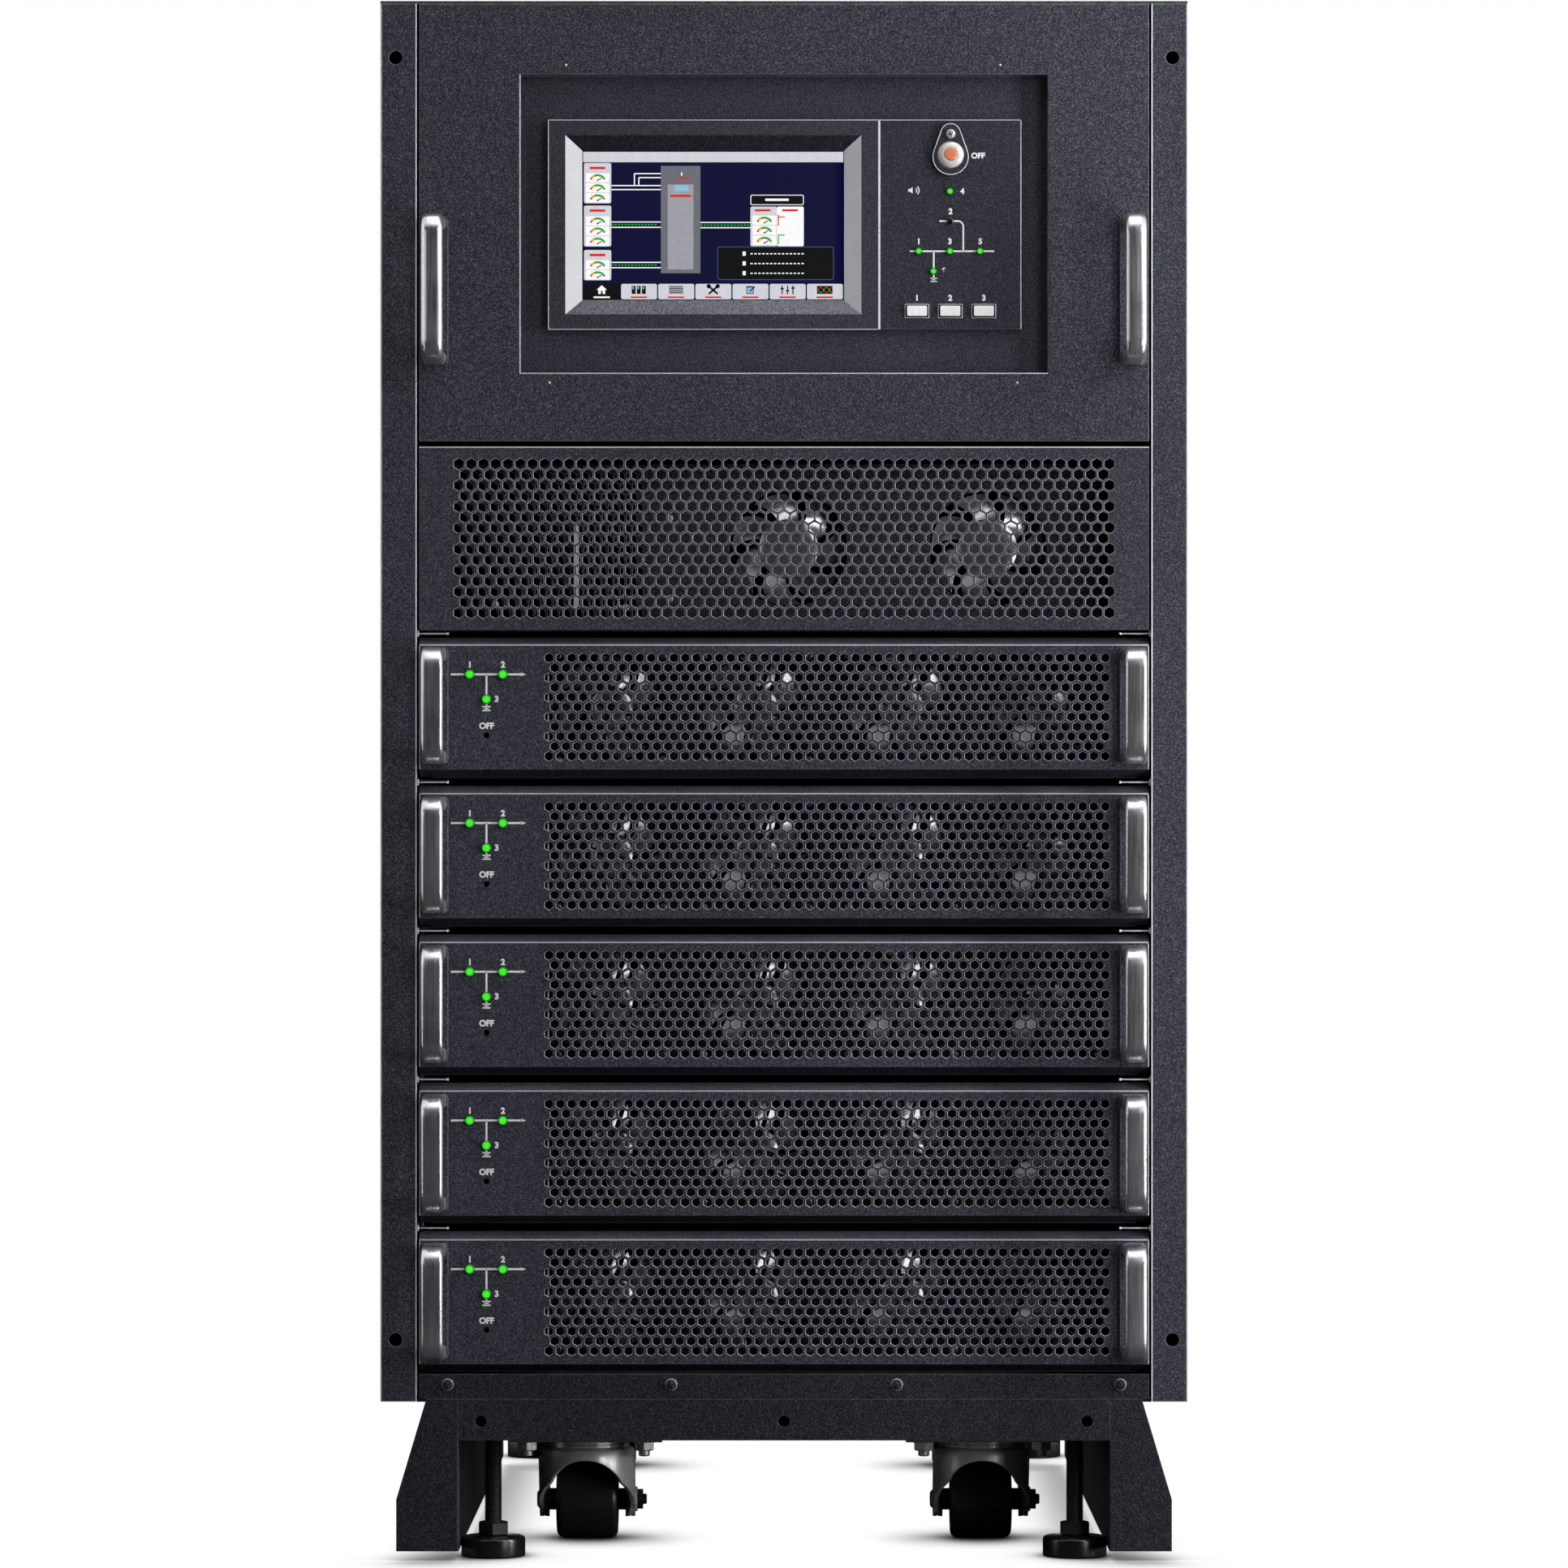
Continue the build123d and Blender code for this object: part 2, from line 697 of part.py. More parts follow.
def module_rotors(index):
    """The rotors of a module's four fans, each on its own motor body."""
    wall_front = front_y + bevel_depth + module_fan_setback
    hub = front_prism(0, 0, module_hub_radius, hub_sides, -module_fan_depth / 2,
                      module_fan_setback - module_fan_depth / 2)
    whole = rotor(hub, module_hub_radius, module_fan_bore - module_tip_gap, module_fan_depth, module_blade_count)
    return [Pos(x, wall_front + module_fan_depth / 2, z) * whole for x, z in module_fan_centres(index)]


def guide_rails():
    """L-shaped ledges on both walls, one pair under each module and one under the fan section."""
    rails = []
    front = front_y + ledge_setback
    back = front + ledge_depth
    for index in range(module_count + 1):
        top = ledge_top(index) - seat_gap
        rail = block(column_inner - ledge_width, column_inner, front, back, top - thin_sheet, top)
        rail += block(column_inner - thin_sheet, column_inner, front, back, top - ledge_lip, top)
        rails += [rail, mirror(rail, about=Plane.YZ)]
    return rails


def lower_cross_rail():
    """The rail across the front under the lowest module, folded back along its lower edge."""
    inner = panel_half_width
    rail = block(-inner, inner, front_y, front_y + sheet, skirt_top, skirt_top + rail_height)
    rail += block(-inner, inner, front_y, front_y + column_return, skirt_top, skirt_top + sheet)
    return rail


def base_skirt():
    """The plate under the cross rail, with three fixing holes."""
    skirt = block(-skirt_half_width, skirt_half_width, front_y, front_y + sheet, tray_bottom, skirt_top)
    for x, z in skirt_hole_places():
        skirt -= front_disc(x, z, skirt_hole_radius, front_y - cut_overrun, front_y + sheet + cut_overrun)
    return skirt


def stabiliser(side):
    """A side plate that runs down to the floor, with a flared wing folded out at the front."""
    run = block(
        stabiliser_inner, stabiliser_inner + sheet, front_y + sheet, rear_y - stabiliser_back,
        stabiliser_bottom, skirt_top - sheet,
    )
    fold = skirt_half_width
    top_out = stabiliser_inner + stabiliser_step_out + sheet
    wing = Polyline(
        (fold, skirt_top), (top_out, skirt_top), (top_out + stabiliser_flare, stabiliser_flare_z),
        (top_out + stabiliser_flare, stabiliser_bottom), (fold, stabiliser_bottom), close=True)
    plate = extrude(make_face(wing), amount=sheet)
    body = run + Pos(0, front_y + sheet, 0) * Rot(90, 0, 0) * plate
    return body if side > 0 else mirror(body, about=Plane.YZ)


def caster_places():
    """The four swivel axes, by name."""
    return {
        "front_left": (-caster_x, front_y + caster_setback),
        "front_right": (caster_x, front_y + caster_setback),
        "rear_left": (-caster_x, rear_y - caster_setback),
        "rear_right": (caster_x, rear_y - caster_setback),
    }


def caster_plates():
    """The four top plates, each with its bearing ring and kingpin."""
    plates = []
    z0 = caster_plate_bottom
    for x, y in caster_places().values():
        half_x = caster_plate_length / 2
        half_y = caster_plate_width / 2
        plate = block(x - half_x, x + half_x, y - half_y, y + half_y, z0, z0 + caster_plate_thick)
        plate += upright_prism(x, y, ring_radius, round_sides, z0 - ring_height, z0)
        plate += post(x, y, kingpin_radius, z0 - kingpin_reach, z0)
        plates.append(plate)
    return plates


def caster_fork(x, y):
    """A pressed fork: a round hood with an arched mouth, two tapering legs and its axle bolt."""
    axle_z = wheel_radius + wheel_lift
    axle_y = y + caster_trail
    half = fork_width / 2
    inside = half - fork_sheet
    behind = y + half + cut_overrun
    before = y - half - cut_overrun
    eye = Pos(axle_y, axle_z) * Circle(axle_z - fork_leg_end)
    crown = Pos(y, (fork_crown_bottom + fork_top) / 2) * Rectangle(fork_width, fork_top - fork_crown_bottom)
    profile = Plane.YZ * extrude(make_hull((eye + crown).edges()), amount=half, both=True)
    hood = upright_prism(0, y, half, round_sides, fork_leg_end, fork_top)
    hood -= upright_prism(0, y, inside, round_sides, fork_leg_end - cut_overrun, fork_top - fork_sheet)
    mouth = wheel_width / 2 + fork_mouth_gap
    hood -= front_prism(0, fork_arch_centre, mouth, round_sides, before, behind)
    hood -= block(-mouth, mouth, before, behind, fork_leg_end - cut_overrun, fork_arch_centre)
    wheel_gap = wheel_width / 2 + wheel_side_gap
    wheel_top = axle_z + wheel_radius + wheel_side_gap
    hood -= block(-wheel_gap, wheel_gap, y, behind, fork_leg_end - cut_overrun, wheel_top)
    hood &= profile
    root = Pos(y, (fork_crown_bottom + fork_top) / 2) * Rectangle(fork_leg_width, fork_top - fork_crown_bottom)
    leg = Plane.YZ * extrude(make_hull((eye + root).edges()), amount=fork_sheet)
    fork = hood + Pos(inside, 0, 0) * leg + Pos(-half, 0, 0) * leg
    fork -= post(0, y, kingpin_radius + running_gap, fork_top - fork_sheet - cut_overrun, fork_top + cut_overrun)
    axle = Rot(0, 90, 0) * extrude(RegularPolygon(axle_radius, bore_sides), amount=inside, both=True)
    head = Rot(0, 90, 0) * hexagon(axle_head_flats, axle_head_height)
    gap = inside - wheel_width / 2 - seat_gap
    sleeve = Rot(0, 90, 0) * extrude(RegularPolygon(sleeve_radius, bore_sides), amount=gap / 2, both=True)
    for side in (-1, 1):
        axle += Pos(side * (half + axle_head_height / 2), 0, 0) * head
        axle += Pos(side * (inside - gap / 2), 0, 0) * sleeve
    return Pos(x, 0, 0) * (fork + Pos(0, axle_y, axle_z) * axle)


def caster_wheel(x, y):
    """A wheel with chamfered shoulders, bored for its axle."""
    wheel = extrude(RegularPolygon(wheel_radius, wheel_sides), amount=wheel_width / 2, both=True)
    rims = wheel.edges().group_by(Axis.Z)
    wheel = chamfer(rims[0] + rims[-1], wheel_round)
    wheel -= Cylinder(axle_radius + running_gap, wheel_width + cut_overrun)
    return Pos(x, y + caster_trail, wheel_radius + wheel_lift) * Rot(0, 90, 0) * wheel


def foot_places():
    """The four levelling feet, as (x, y)."""
    return [(x, y) for x in (-foot_x, foot_x) for y in (front_y + foot_setback_front, rear_y - foot_setback_rear)]


def levelling_feet():
    """Four screw feet: a domed pad, a lock nut and a stud up into the tray."""
    feet = []
    pad = upright_prism(0, 0, foot_radius, round_sides, 0, foot_height)
    pad = chamfer(pad.edges().group_by(Axis.Z)[-1], foot_height - foot_wall)
    nut = Pos(0, 0, foot_nut_bottom + foot_nut_height / 2) * hexagon(foot_nut_flats, foot_nut_height)
    stud = upright_prism(0, 0, stud_radius, bore_sides, foot_height - sheet, tray_bottom + sheet + foot_nut_height)
    foot = pad + stud + nut
    for x, y in foot_places():
        feet.append(Pos(x, y, 0) * foot)
    return feet


save("side_panel_left", side_panel(-1))
save("side_panel_right", side_panel(1))
save("chassis_walls", Compound(chassis_walls()))
save("top_cover", top_cover())
save("floor_tray", floor_tray())
save("rear_panel", rear_panel())
save("header_panel", header_panel())
save("header_recess_pan", recess_pan())
save("header_handles", Compound(handle_pair(recess_bottom + header_handle_rise, header_handle_height)))
save("display_bezel", display_bezel())
save("display_screen", display_screen())
save("control_panel", control_panel())
save("epo_guard", epo_guard())
save("epo_button", epo_button())
for name, across in key_places:
    save(name, control_key(across))
save("fan_section_grille", fan_section_grille())
save("fan_section_plate", Compound(fan_section_plate()))
save("header_fan_frames", Compound(fan_frames()))
for name, x in zip(("header_fan_rotor_left", "header_fan_rotor_right"), fan_places):
    save(name, header_rotor(x))
save("guide_rails", Compound(guide_rails()))
save("lower_cross_rail", lower_cross_rail())
save("base_skirt", base_skirt())
save("base_side_plate_left", stabiliser(-1))
save("base_side_plate_right", stabiliser(1))
save("caster_plates", Compound(caster_plates()))
for place, (x, y) in caster_places().items():
    save("caster_fork_" + place, caster_fork(x, y))
    save("caster_wheel_" + place, caster_wheel(x, y))
save("levelling_feet", Compound(levelling_feet()))
for index in range(module_count):
    name = "module_" + str(module_count - index)
    handles = handle_pair(face_bottom(index) + module_handle_rise, face_height - module_handle_rise - module_handle_drop)
    save(name + "_front", module_front(index))
    save(name + "_handles", Compound(handles))
    save(name + "_case", module_case(index))
    save(name + "_fan_rotors", Compound(module_rotors(index)))
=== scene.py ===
"""Looks of the modular UPS cabinet: finishes, perforated sheets, fans, handles, screen, casters and feet."""
import math

import bmesh
import bpy
from mathutils import Matrix, Vector


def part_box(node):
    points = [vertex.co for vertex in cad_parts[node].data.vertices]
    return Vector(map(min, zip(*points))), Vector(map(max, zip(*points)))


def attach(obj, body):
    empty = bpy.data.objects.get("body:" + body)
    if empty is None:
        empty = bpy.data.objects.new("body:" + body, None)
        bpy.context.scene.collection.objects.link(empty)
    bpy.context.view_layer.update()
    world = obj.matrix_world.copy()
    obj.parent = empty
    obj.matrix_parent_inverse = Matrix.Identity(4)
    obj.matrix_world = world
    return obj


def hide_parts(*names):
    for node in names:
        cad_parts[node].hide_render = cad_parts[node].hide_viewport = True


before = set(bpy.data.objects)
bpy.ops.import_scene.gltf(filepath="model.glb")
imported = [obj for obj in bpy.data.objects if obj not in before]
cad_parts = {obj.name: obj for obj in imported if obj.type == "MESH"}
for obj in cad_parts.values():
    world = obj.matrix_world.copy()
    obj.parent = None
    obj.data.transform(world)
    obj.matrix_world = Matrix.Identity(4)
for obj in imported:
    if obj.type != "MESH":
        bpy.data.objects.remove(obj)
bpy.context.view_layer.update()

# Units and the cabinet's own planes
MM = 0.001
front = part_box("header_panel")[0].y
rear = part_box("side_panel_left")[1].y
middle_height = 0.4662
module_names = ["module_" + str(number) for number in range(1, 6)]
quarter_turn = math.pi / 2
half_turn = math.pi
full_turn = math.tau
slab_faces = [(0, 1, 2, 3), (7, 6, 5, 4), (0, 4, 5, 1), (1, 5, 6, 2), (2, 6, 7, 3), (3, 7, 4, 0)]
block_faces = [(0, 2, 3, 1), (4, 5, 7, 6), (0, 1, 5, 4), (2, 6, 7, 3), (0, 4, 6, 2), (1, 3, 7, 5)]
smooth_limit = math.radians(32)

# Perforation, in millimetres
grille_pitch = 8.18
grille_flats = 6.6
grille_rows = 15
grille_columns = 54
grille_centre_z = 681.85
module_pitch = 7.567
module_flats = 5.5
module_rows = 11
module_columns = 50
module_centre_x = 28.7
module_centre_rise = 41.5
sheet_thickness = 1.5
rim_width = 0.36
round_hole_sides = 20
merge_distance = 0.02
edge_width = 0.9
edge_stand = 0.05
edge_sink = 0.2
cover_half = 243.2
cover_flange = 18.0
fold_depth = 9.0
fold_rise = 4.8
module_button_x = -198.2
module_button_rise = 22.7
module_button_radius = 2.0

# Second mesh, its rib and screws, and the painted shade sheets in the rear gaps, in millimetres
intake_left = -236.0
intake_right = -91.5
intake_top = 733.0
intake_inset = 2.0
intake_drop = 3.0
intake_rows = 14
intake_columns = 17
rib_left = -141.2
rib_right = -137.8
rib_bottom = 637.0
rib_top = 692.0
rib_reach = 4.0
rib_gap = 0.2
intake_screw_radius = 2.6
intake_screws = ((-194.0, 639.0), (-106.4, 637.0), (-77.0, 697.0), (-77.0, 643.0))
gap_sheet_inner = 237.0
gap_sheet_outer = 244.7
gap_sheet_bottom = 109.0
gap_sheet_top = 1036.0
gap_sheet_inset = 20.0
gap_sheet_thickness = 1.5

# Handles, in millimetres
handle_x = 232.7
handle_width = 14.5
handle_thickness = 9.0
handle_reach = 38.0
handle_bend = 14.0
bend_steps = 8
root_width = 18.0
root_corner = 3.0
root_thickness = 2.4
module_grip_corner = 2.6
header_grip_corner = 4.2

# Fans, in millimetres
header_fan_x = (3.0, 137.0)
header_fan_z = 677.0
header_fan_radius = 38.0
header_hub_radius = 20.0
module_fan_x = (-117.0, -19.0, 79.0, 177.0)
module_fan_radius = 35.5
module_hub_radius = 15.0
blade_count = 7
blade_depth_share = 0.33
blade_root_share = 0.94
blade_taper_share = 0.18
blade_flat_share = 0.1
blade_lead_power = 1.3
blade_thickness = 1.1
blade_spans = 7
blade_chords = 6
blade_sweep = 22.0
blade_chord = 42.0
hub_face_share = 0.8
hub_edge = 1.5
header_rotor_turn = 0.25
module_rotor_turn = 0.6
module_rotor_depth = 19.0
module_rotor_inset = 9.0
header_housing = 86.5
header_bore = 39.8
header_housing_depth = 25.4
module_housing = 80.0
module_bore = 37.4
module_housing_depth = 2.9
module_housing_gap = 3.0
motor_plate_share = 0.2
throat_steps = 48
throat_flare = 1.6
throat_lip = 3.0
strut_half = 1.6
strut_depth = 2.5
strut_turn = 0.3
motor_plate_depth = 3.0
boss_inset = 4.6
boss_profile = ((0, 1.3), (2.0, 1.3), (2.9, 0.5), (2.9, 0), (0, 0))
bracket_x = -157.2
bracket_half = 0.5
bracket_near = 3.0
bracket_far = 6.0
bracket_inset = 20.0

# Casters, in millimetres
fork_radius = 32.8
fork_sheet = 2.6
fork_top = 65.0
fork_trail = 18.0
fork_crown = 50.0
fork_eye = 11.9
fork_mouth = 26.8
fork_arch = 31.0
fork_rear_gap = 55.5
fork_leg_half = 12.0
axle_rise = 26.5
wheel_half = 21.0
sleeve_radius = 7.5
fork_columns = 120
fork_crown_rows = ((1.0, 4.0), (0.965, 1.2), (0.88, 0.0))
fork_lid_bore = 6.0
fork_lid_share = 0.88
fork_leg_drop = 6.0
sleeve_gap = 0.4
washer_radius = 8.5
washer_depth = 1.6
axle_nut_radius = 7.5
axle_nut_depth = 3.8
axle_end = ((0, 0), (3.6, 0), (3.6, 2.0), (3.0, 2.6), (0, 2.6))
axle_head = ((0, 2.2), (4.6, 2.0), (6.4, 0.6), (6.4, 0))
wheel_face = ((5.2, 0), (11.0, 0), (11.5, 3.0), (18.0, 3.0), (19.0, 0.6), (20.0, 0))
wheel_shoulder = 4.0
plate_thickness = 3.0
bearing_drop = 5.7
bearing_profile = ((24.0, 0.0), (28.6, 0.0), (29.3, 0.7), (29.3, 2.2), (28.4, 2.6), (29.3, 3.0), (29.3, 5.0),
                   (28.0, 5.6))
bolt_spread_x = 40.0
bolt_spread_y = 27.0
plate_nut_drop = 6.6
plate_nut_flats = 13.0
plate_nut_height = 6.5
plate_bolt_profile = ((0, -10.5), (3.2, -10.5), (3.9, -9.8), (3.9, -6.0))
nut_chamfer = 0.6
nut_face_share = 0.46

# Levelling feet, in millimetres
foot_radius = 21.5
foot_edge = 1.0
foot_side = 11.2
foot_round = 2.2
foot_crown = ((11.0, 13.9), (9.5, 14.2), (0, 14.2))
foot_nut_z = 14.3
foot_nut_flats = 19.0
foot_nut_height = 8.7
stud_radius = 5.9
stud_low = 22.5
stud_high = 84.0
stud_pitch = 1.5
stud_depth = 0.55
stud_start = 22.0
stud_end = 84.2

# Screen and controls, in millimetres
screen_left = -134.1
screen_right = 39.6
screen_bottom = 841.5
screen_top = 940.3
layer_step = 0.06
tab_count = 7
stroke_weight = 0.75
arc_weight = 1.5
needle_weight = 0.8
bevel_depth = 1.4
bevel_gap = 0.5
bevel_lip = 11.3
bevel_rim = 10.0
bevel_skin = 0.04
window_lip = 2.0
print_weight = 0.045
thin_edge = 0.6
column_edge = 0.75
ledge_rise = 2.45
ledge_reach = 20.5
ledge_depth = 3.0
ledge_weight = 1.0
ledge_end_depth = 2.8
ledge_end_half = 0.8
ledge_end_weight = 1.4
ledge_side_inset = 0.7
ledge_side_half = 2.0

# Marks of the modules, in millimetres; a rise counts from the lower edge of the face
print_lift = 0.08
print_extrude = 0.02
arrow_back_share = 0.6
arrow_half_share = 0.55
flow_rise = 63.3
flow_left = -222.1
flow_right = -174.5
flow_arrow_x = -174.0
flow_arrow_size = 2.2
flow_weight = 1.4
trunk_weight = 1.3
battery_rise = 46.7
battery_gap = 3.0
battery_drop = 4.6
battery_bar_drop = 4.9
battery_bar_pitch = 1.3
battery_bar_weight = 0.95
battery_bars = (5.6, 3.0, 5.6)
rectifier_x = -209.4
inverter_x = -187.3
battery_x = -198.3
battery_number_x = -191.5
off_x = -198.2
off_rise = 28.8
number_rise = 6.3
module_print_size = 5.6
module_lamp_radius = 2.9
module_lamp_collar = 3.2
lamp_sink = 1.0
lamp_ring = ((0.35, 0), (0.3, 0.35), (0, 0.4), (0, 0))
lamp_dome_base = 0.25
lamp_dome_share = 0.45
collar_rise = 0.1

# Marks of the control plate, in millimetres
plate_depth = 4.0
plate_weight = 1.1
plate_row = 873.6
plate_flow_left = 83.9
plate_flow_right = 140.2
bypass_row = 893.7
bypass_left = 103.6
bypass_bend_x = 116.0
bypass_bend = 3.6
plate_battery_x = 99.9
plate_battery_top = 862.3
plate_battery_low = 857.8
plate_battery_end = 855.8
plate_bar_top = 855.6
plate_bar_pitch = 1.1
plate_bar_weight = 0.6
plate_bars = (4.6, 2.4, 4.6)
plate_print_size = 5.2
plate_numbers = (("4", 119.0, 913.5), ("2", 111.1, 900.0), ("1", 89.9, 880.0), ("3", 110.7, 880.0),
                 ("5", 131.0, 880.0), ("6", 106.5, 860.6), ("1", 88.7, 842.3), ("2", 110.9, 842.3),
                 ("3", 133.3, 842.3), ("OFF", 129.5, 937.2))
plate_lamp_radius = 2.0
plate_lamp_collar = 2.35
lamp_points = ((110.7, 913.5, True), (111.1, 893.7, False), (89.9, 873.6, True), (110.7, 873.6, True),
               (130.7, 873.6, True), (99.7, 860.1, True))
horn_x = 85.4
horn_z = 914.2
horn_outline = ((-2.6, -0.9), (-1.3, -0.9), (0.4, -2.2), (0.4, 2.2), (-1.3, 0.9), (-2.6, 0.9))
wave_x = 86.2
wave_radii = (2.4, 3.9)
wave_half_angle = 42
wave_steps = 4
wave_weight = 0.7
buzzer_x = 86.2
buzzer_z = 923.7
buzzer_reach = 2.4
buzzer_radius = 1.35
buzzer_lift = 0.06
key_places = (88.7, 110.9, 133.3)
key_row = 833.7
key_rim_width = 15.9
key_rim_height = 9.0
key_rim_weight = 0.5
key_rim_lift = 0.3
key_corner = 0.7
key_cap_depth = 1.6
key_stem_share = 0.5

# Emergency button and its guard, in millimetres
epo_x = 111.1
epo_z = 937.8
dome_radius = 9.0
dome_height = 6.0
dome_rim = 1.2
dome_shoulder = 1.9
core_radius = 4.4
core_sink = 1.3
core_profile = ((-0.25, -1.4), (-0.25, -0.75), (-0.8, -0.3))
guard_lobe_share = 0.56
guard_line = 0.55
guard_line_lift = 0.15
guard_screw_rise = 13.8
guard_screw_radius = 3.2
guard_screw_sink = 2.4

# Screws, in millimetres; the shares are of the head's radius
head_shares = ((1, 0), (1, 0.25), (0.85, 0.5), (0.5, 0.62), (0, 0.66))
slot_length_share = 0.55
slot_half_share = 0.1
slot_rise_share = 0.6
slot_depth_share = 0.08
slot_turn = 0.4
rail_screw_x = (-224.2, -75.2, 75.2, 224.2)
rail_screw_z = 117.9
rail_screw_radius = 3.6
rail_collar = 4.0
rail_collar_rise = 0.5
header_pins = ((-145.3, 997.3), (144.0, 997.3), (-156.4, 785.6), (155.4, 785.6))
pin_profile = ((0.8, 0), (0.8, 0.25), (0.5, 0.45), (0, 0.5))
rear_screw_inset = 9.0
rear_screw_count = 6
rear_screw_radius = 3.2


class Shape:
    """Collects points and faces, each face with the number of its finish, and makes one mesh of them."""

    def __init__(self):
        self.points = []
        self.faces = []
        self.finishes = []

    def add(self, points, faces, finish=0):
        """Faces whose corners count from the first of these points."""
        first = len(self.points)
        self.points += [Vector(point) for point in points]
        self.faces += [[first + corner for corner in face] for face in faces]
        self.finishes += [finish] * len(faces)

    def box(self, low, high, finish=0):
        """A straight block between two corners."""
        x0, y0, z0 = low
        x1, y1, z1 = high
        points = [(x, y, z) for z in (z0, z1) for y in (y0, y1) for x in (x0, x1)]
        self.add(points, block_faces, finish)

    def slab(self, layers, finish=0, edge_finish=None):
        """Two like outlines in space, closed into a plate whose edge can have its own finish."""
        count = len(layers[0])
        points = layers[0] + layers[1]
        lids = [tuple(range(count)), tuple(range(2 * count - 1, count - 1, -1))]
        sides = [(k, (k + 1) % count, count + (k + 1) % count, count + k) for k in range(count)]
        if edge_finish is None:
            self.add(points, lids + sides, finish)
        else:
            self.add(points, lids, finish)
            self.add(points, sides, edge_finish)

    def prism(self, outline, depth, place, finish=0):
        """An outline in its own XY plane, given a depth along Z and moved by a matrix."""
        count = len(outline)
        points = [place @ Vector((x, y, z)) for z in (0, depth) for x, y in outline]
        faces = [list(range(count))[::-1], list(range(count, 2 * count))]
        for corner in range(count):
            after = (corner + 1) % count
            faces.append((corner, after, count + after, count + corner))
        self.add(points, faces, finish)

    def turned(self, profile, steps, place, finish=0):
        """A profile of (radius, height) pairs turned about Z, closed on itself where it meets the axis."""
        rings = []
        points = []
        for radius, height in profile:
            if radius <= 0:
                rings.append([len(points)] * steps)
                points.append(place @ Vector((0, 0, height)))
                continue
            rings.append(list(range(len(points), len(points) + steps)))
            for step in range(steps):
                angle = full_turn * step / steps
                points.append(place @ Vector((radius * math.cos(angle), radius * math.sin(angle), height)))
        faces = []
        for lower, upper in zip(rings, rings[1:]):
            for step in range(steps):
                after = (step + 1) % steps
                corners = [lower[step], lower[after], upper[after], upper[step]]
                face = [corner for place_in, corner in enumerate(corners) if corner not in corners[:place_in]]
                if len(face) > 2:
                    faces.append(face)
        self.add(points, faces, finish)

    def swept(self, path, section, side, finish=0):
        """A closed section carried along a path that lies in one plane, whose normal is side."""
        points = []
        size = len(section)
        for index, point in enumerate(path):
            before = path[max(index - 1, 0)]
            after = path[min(index + 1, len(path) - 1)]
            along = (after - before).normalized()
            up = side.cross(along).normalized()
            points += [point + side * u + up * v for u, v in section]
        faces = [list(range(size))[::-1], [len(points) - size + corner for corner in range(size)]]
        for ring in range(len(path) - 1):
            for corner in range(size):
                after = (corner + 1) % size
                low = ring * size
                faces.append((low + corner, low + after, low + size + after, low + size + corner))
        self.add(points, faces, finish)

    def piece(self, name, finishes, smooth=True, scale=MM):
        """One object of everything collected, with sharp edges kept sharp."""
        mesh = bpy.data.meshes.new(name)
        mesh.from_pydata([point * scale for point in self.points], [], self.faces)
        for finish in finishes:
            mesh.materials.append(finish)
        mesh.polygons.foreach_set("material_index", self.finishes)
        work = bmesh.new()
        work.from_mesh(mesh)
        bmesh.ops.recalc_face_normals(work, faces=work.faces)
        work.to_mesh(mesh)
        work.free()
        if smooth:
            mesh.polygons.foreach_set("use_smooth", [True] * len(mesh.polygons))
            mesh.set_sharp_from_angle(angle=smooth_limit)
        mesh.update()
        made = bpy.data.objects.new(name, mesh)
        bpy.context.scene.collection.objects.link(made)
        return made


def settle(piece, body, slot, *replaced):
    """Let a piece ride on a body and stand for the nodes that it replaces; the slot is not used."""
    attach(piece, body)
    if replaced:
        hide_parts(*replaced)
    return piece


def node_box(name):
    """The two corners of a CAD node's box, in millimetres."""
    return [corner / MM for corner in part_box(name)]


def regular(count, radius, turn=0.0):
    """The corners of a regular outline."""
    angles = [full_turn * step / count + turn for step in range(count)]
    return [(radius * math.cos(angle), radius * math.sin(angle)) for angle in angles]


def frame_corners(left, right, bottom, top):
    """The corners of an upright rectangle, from the lower left one round."""
    return [(left, bottom), (right, bottom), (right, top), (left, top)]


def rounded_box(width, height, radius, steps=4):
    """The corners of a rectangle with rounded corners, centred on zero."""
    corners = []
    for corner, (sx, sy) in enumerate(((1, 1), (-1, 1), (-1, -1), (1, -1))):
        centre_x = sx * (width / 2 - radius)
        centre_y = sy * (height / 2 - radius)
        for step in range(steps + 1):
            angle = quarter_turn * (corner + step / steps)
            corners.append((centre_x + radius * math.cos(angle), centre_y + radius * math.sin(angle)))
    return corners


def facing(x, y, z):
    """A place whose own Z points out of the front."""
    return Matrix.Translation((x, y, z)) @ Matrix.Rotation(quarter_turn, 4, "X")


def across(x, y, z):
    """A place whose own Z points along X."""
    return Matrix.Translation((x, y, z)) @ Matrix.Rotation(quarter_turn, 4, "Y")


def upright(x, y, z):
    """A place whose own Z points up."""
    return Matrix.Translation((x, y, z))


# Shader node groups and finishes: colours are linear, and a noise scale is in waves to the metre
tone_scale = 5.0
cloud_scale = 30.0
edge_break_scale = 120.0
dust_scale = 14.0
glow_scale = 250.0
pit_color = (0.006, 0.006, 0.01, 1)
dust_color = (0.3, 0.29, 0.28, 1)
# Pale colour of edges that are partly rubbed and partly painted highlight.
worn_and_highlight_color = (0.42, 0.43, 0.47, 1)
unlit_color = (0.01, 0.01, 0.01, 1)
powder_bump = 0.0004
metal_bump = 0.0003
plastic_bump = 0.0002
plastic_round = 0.4


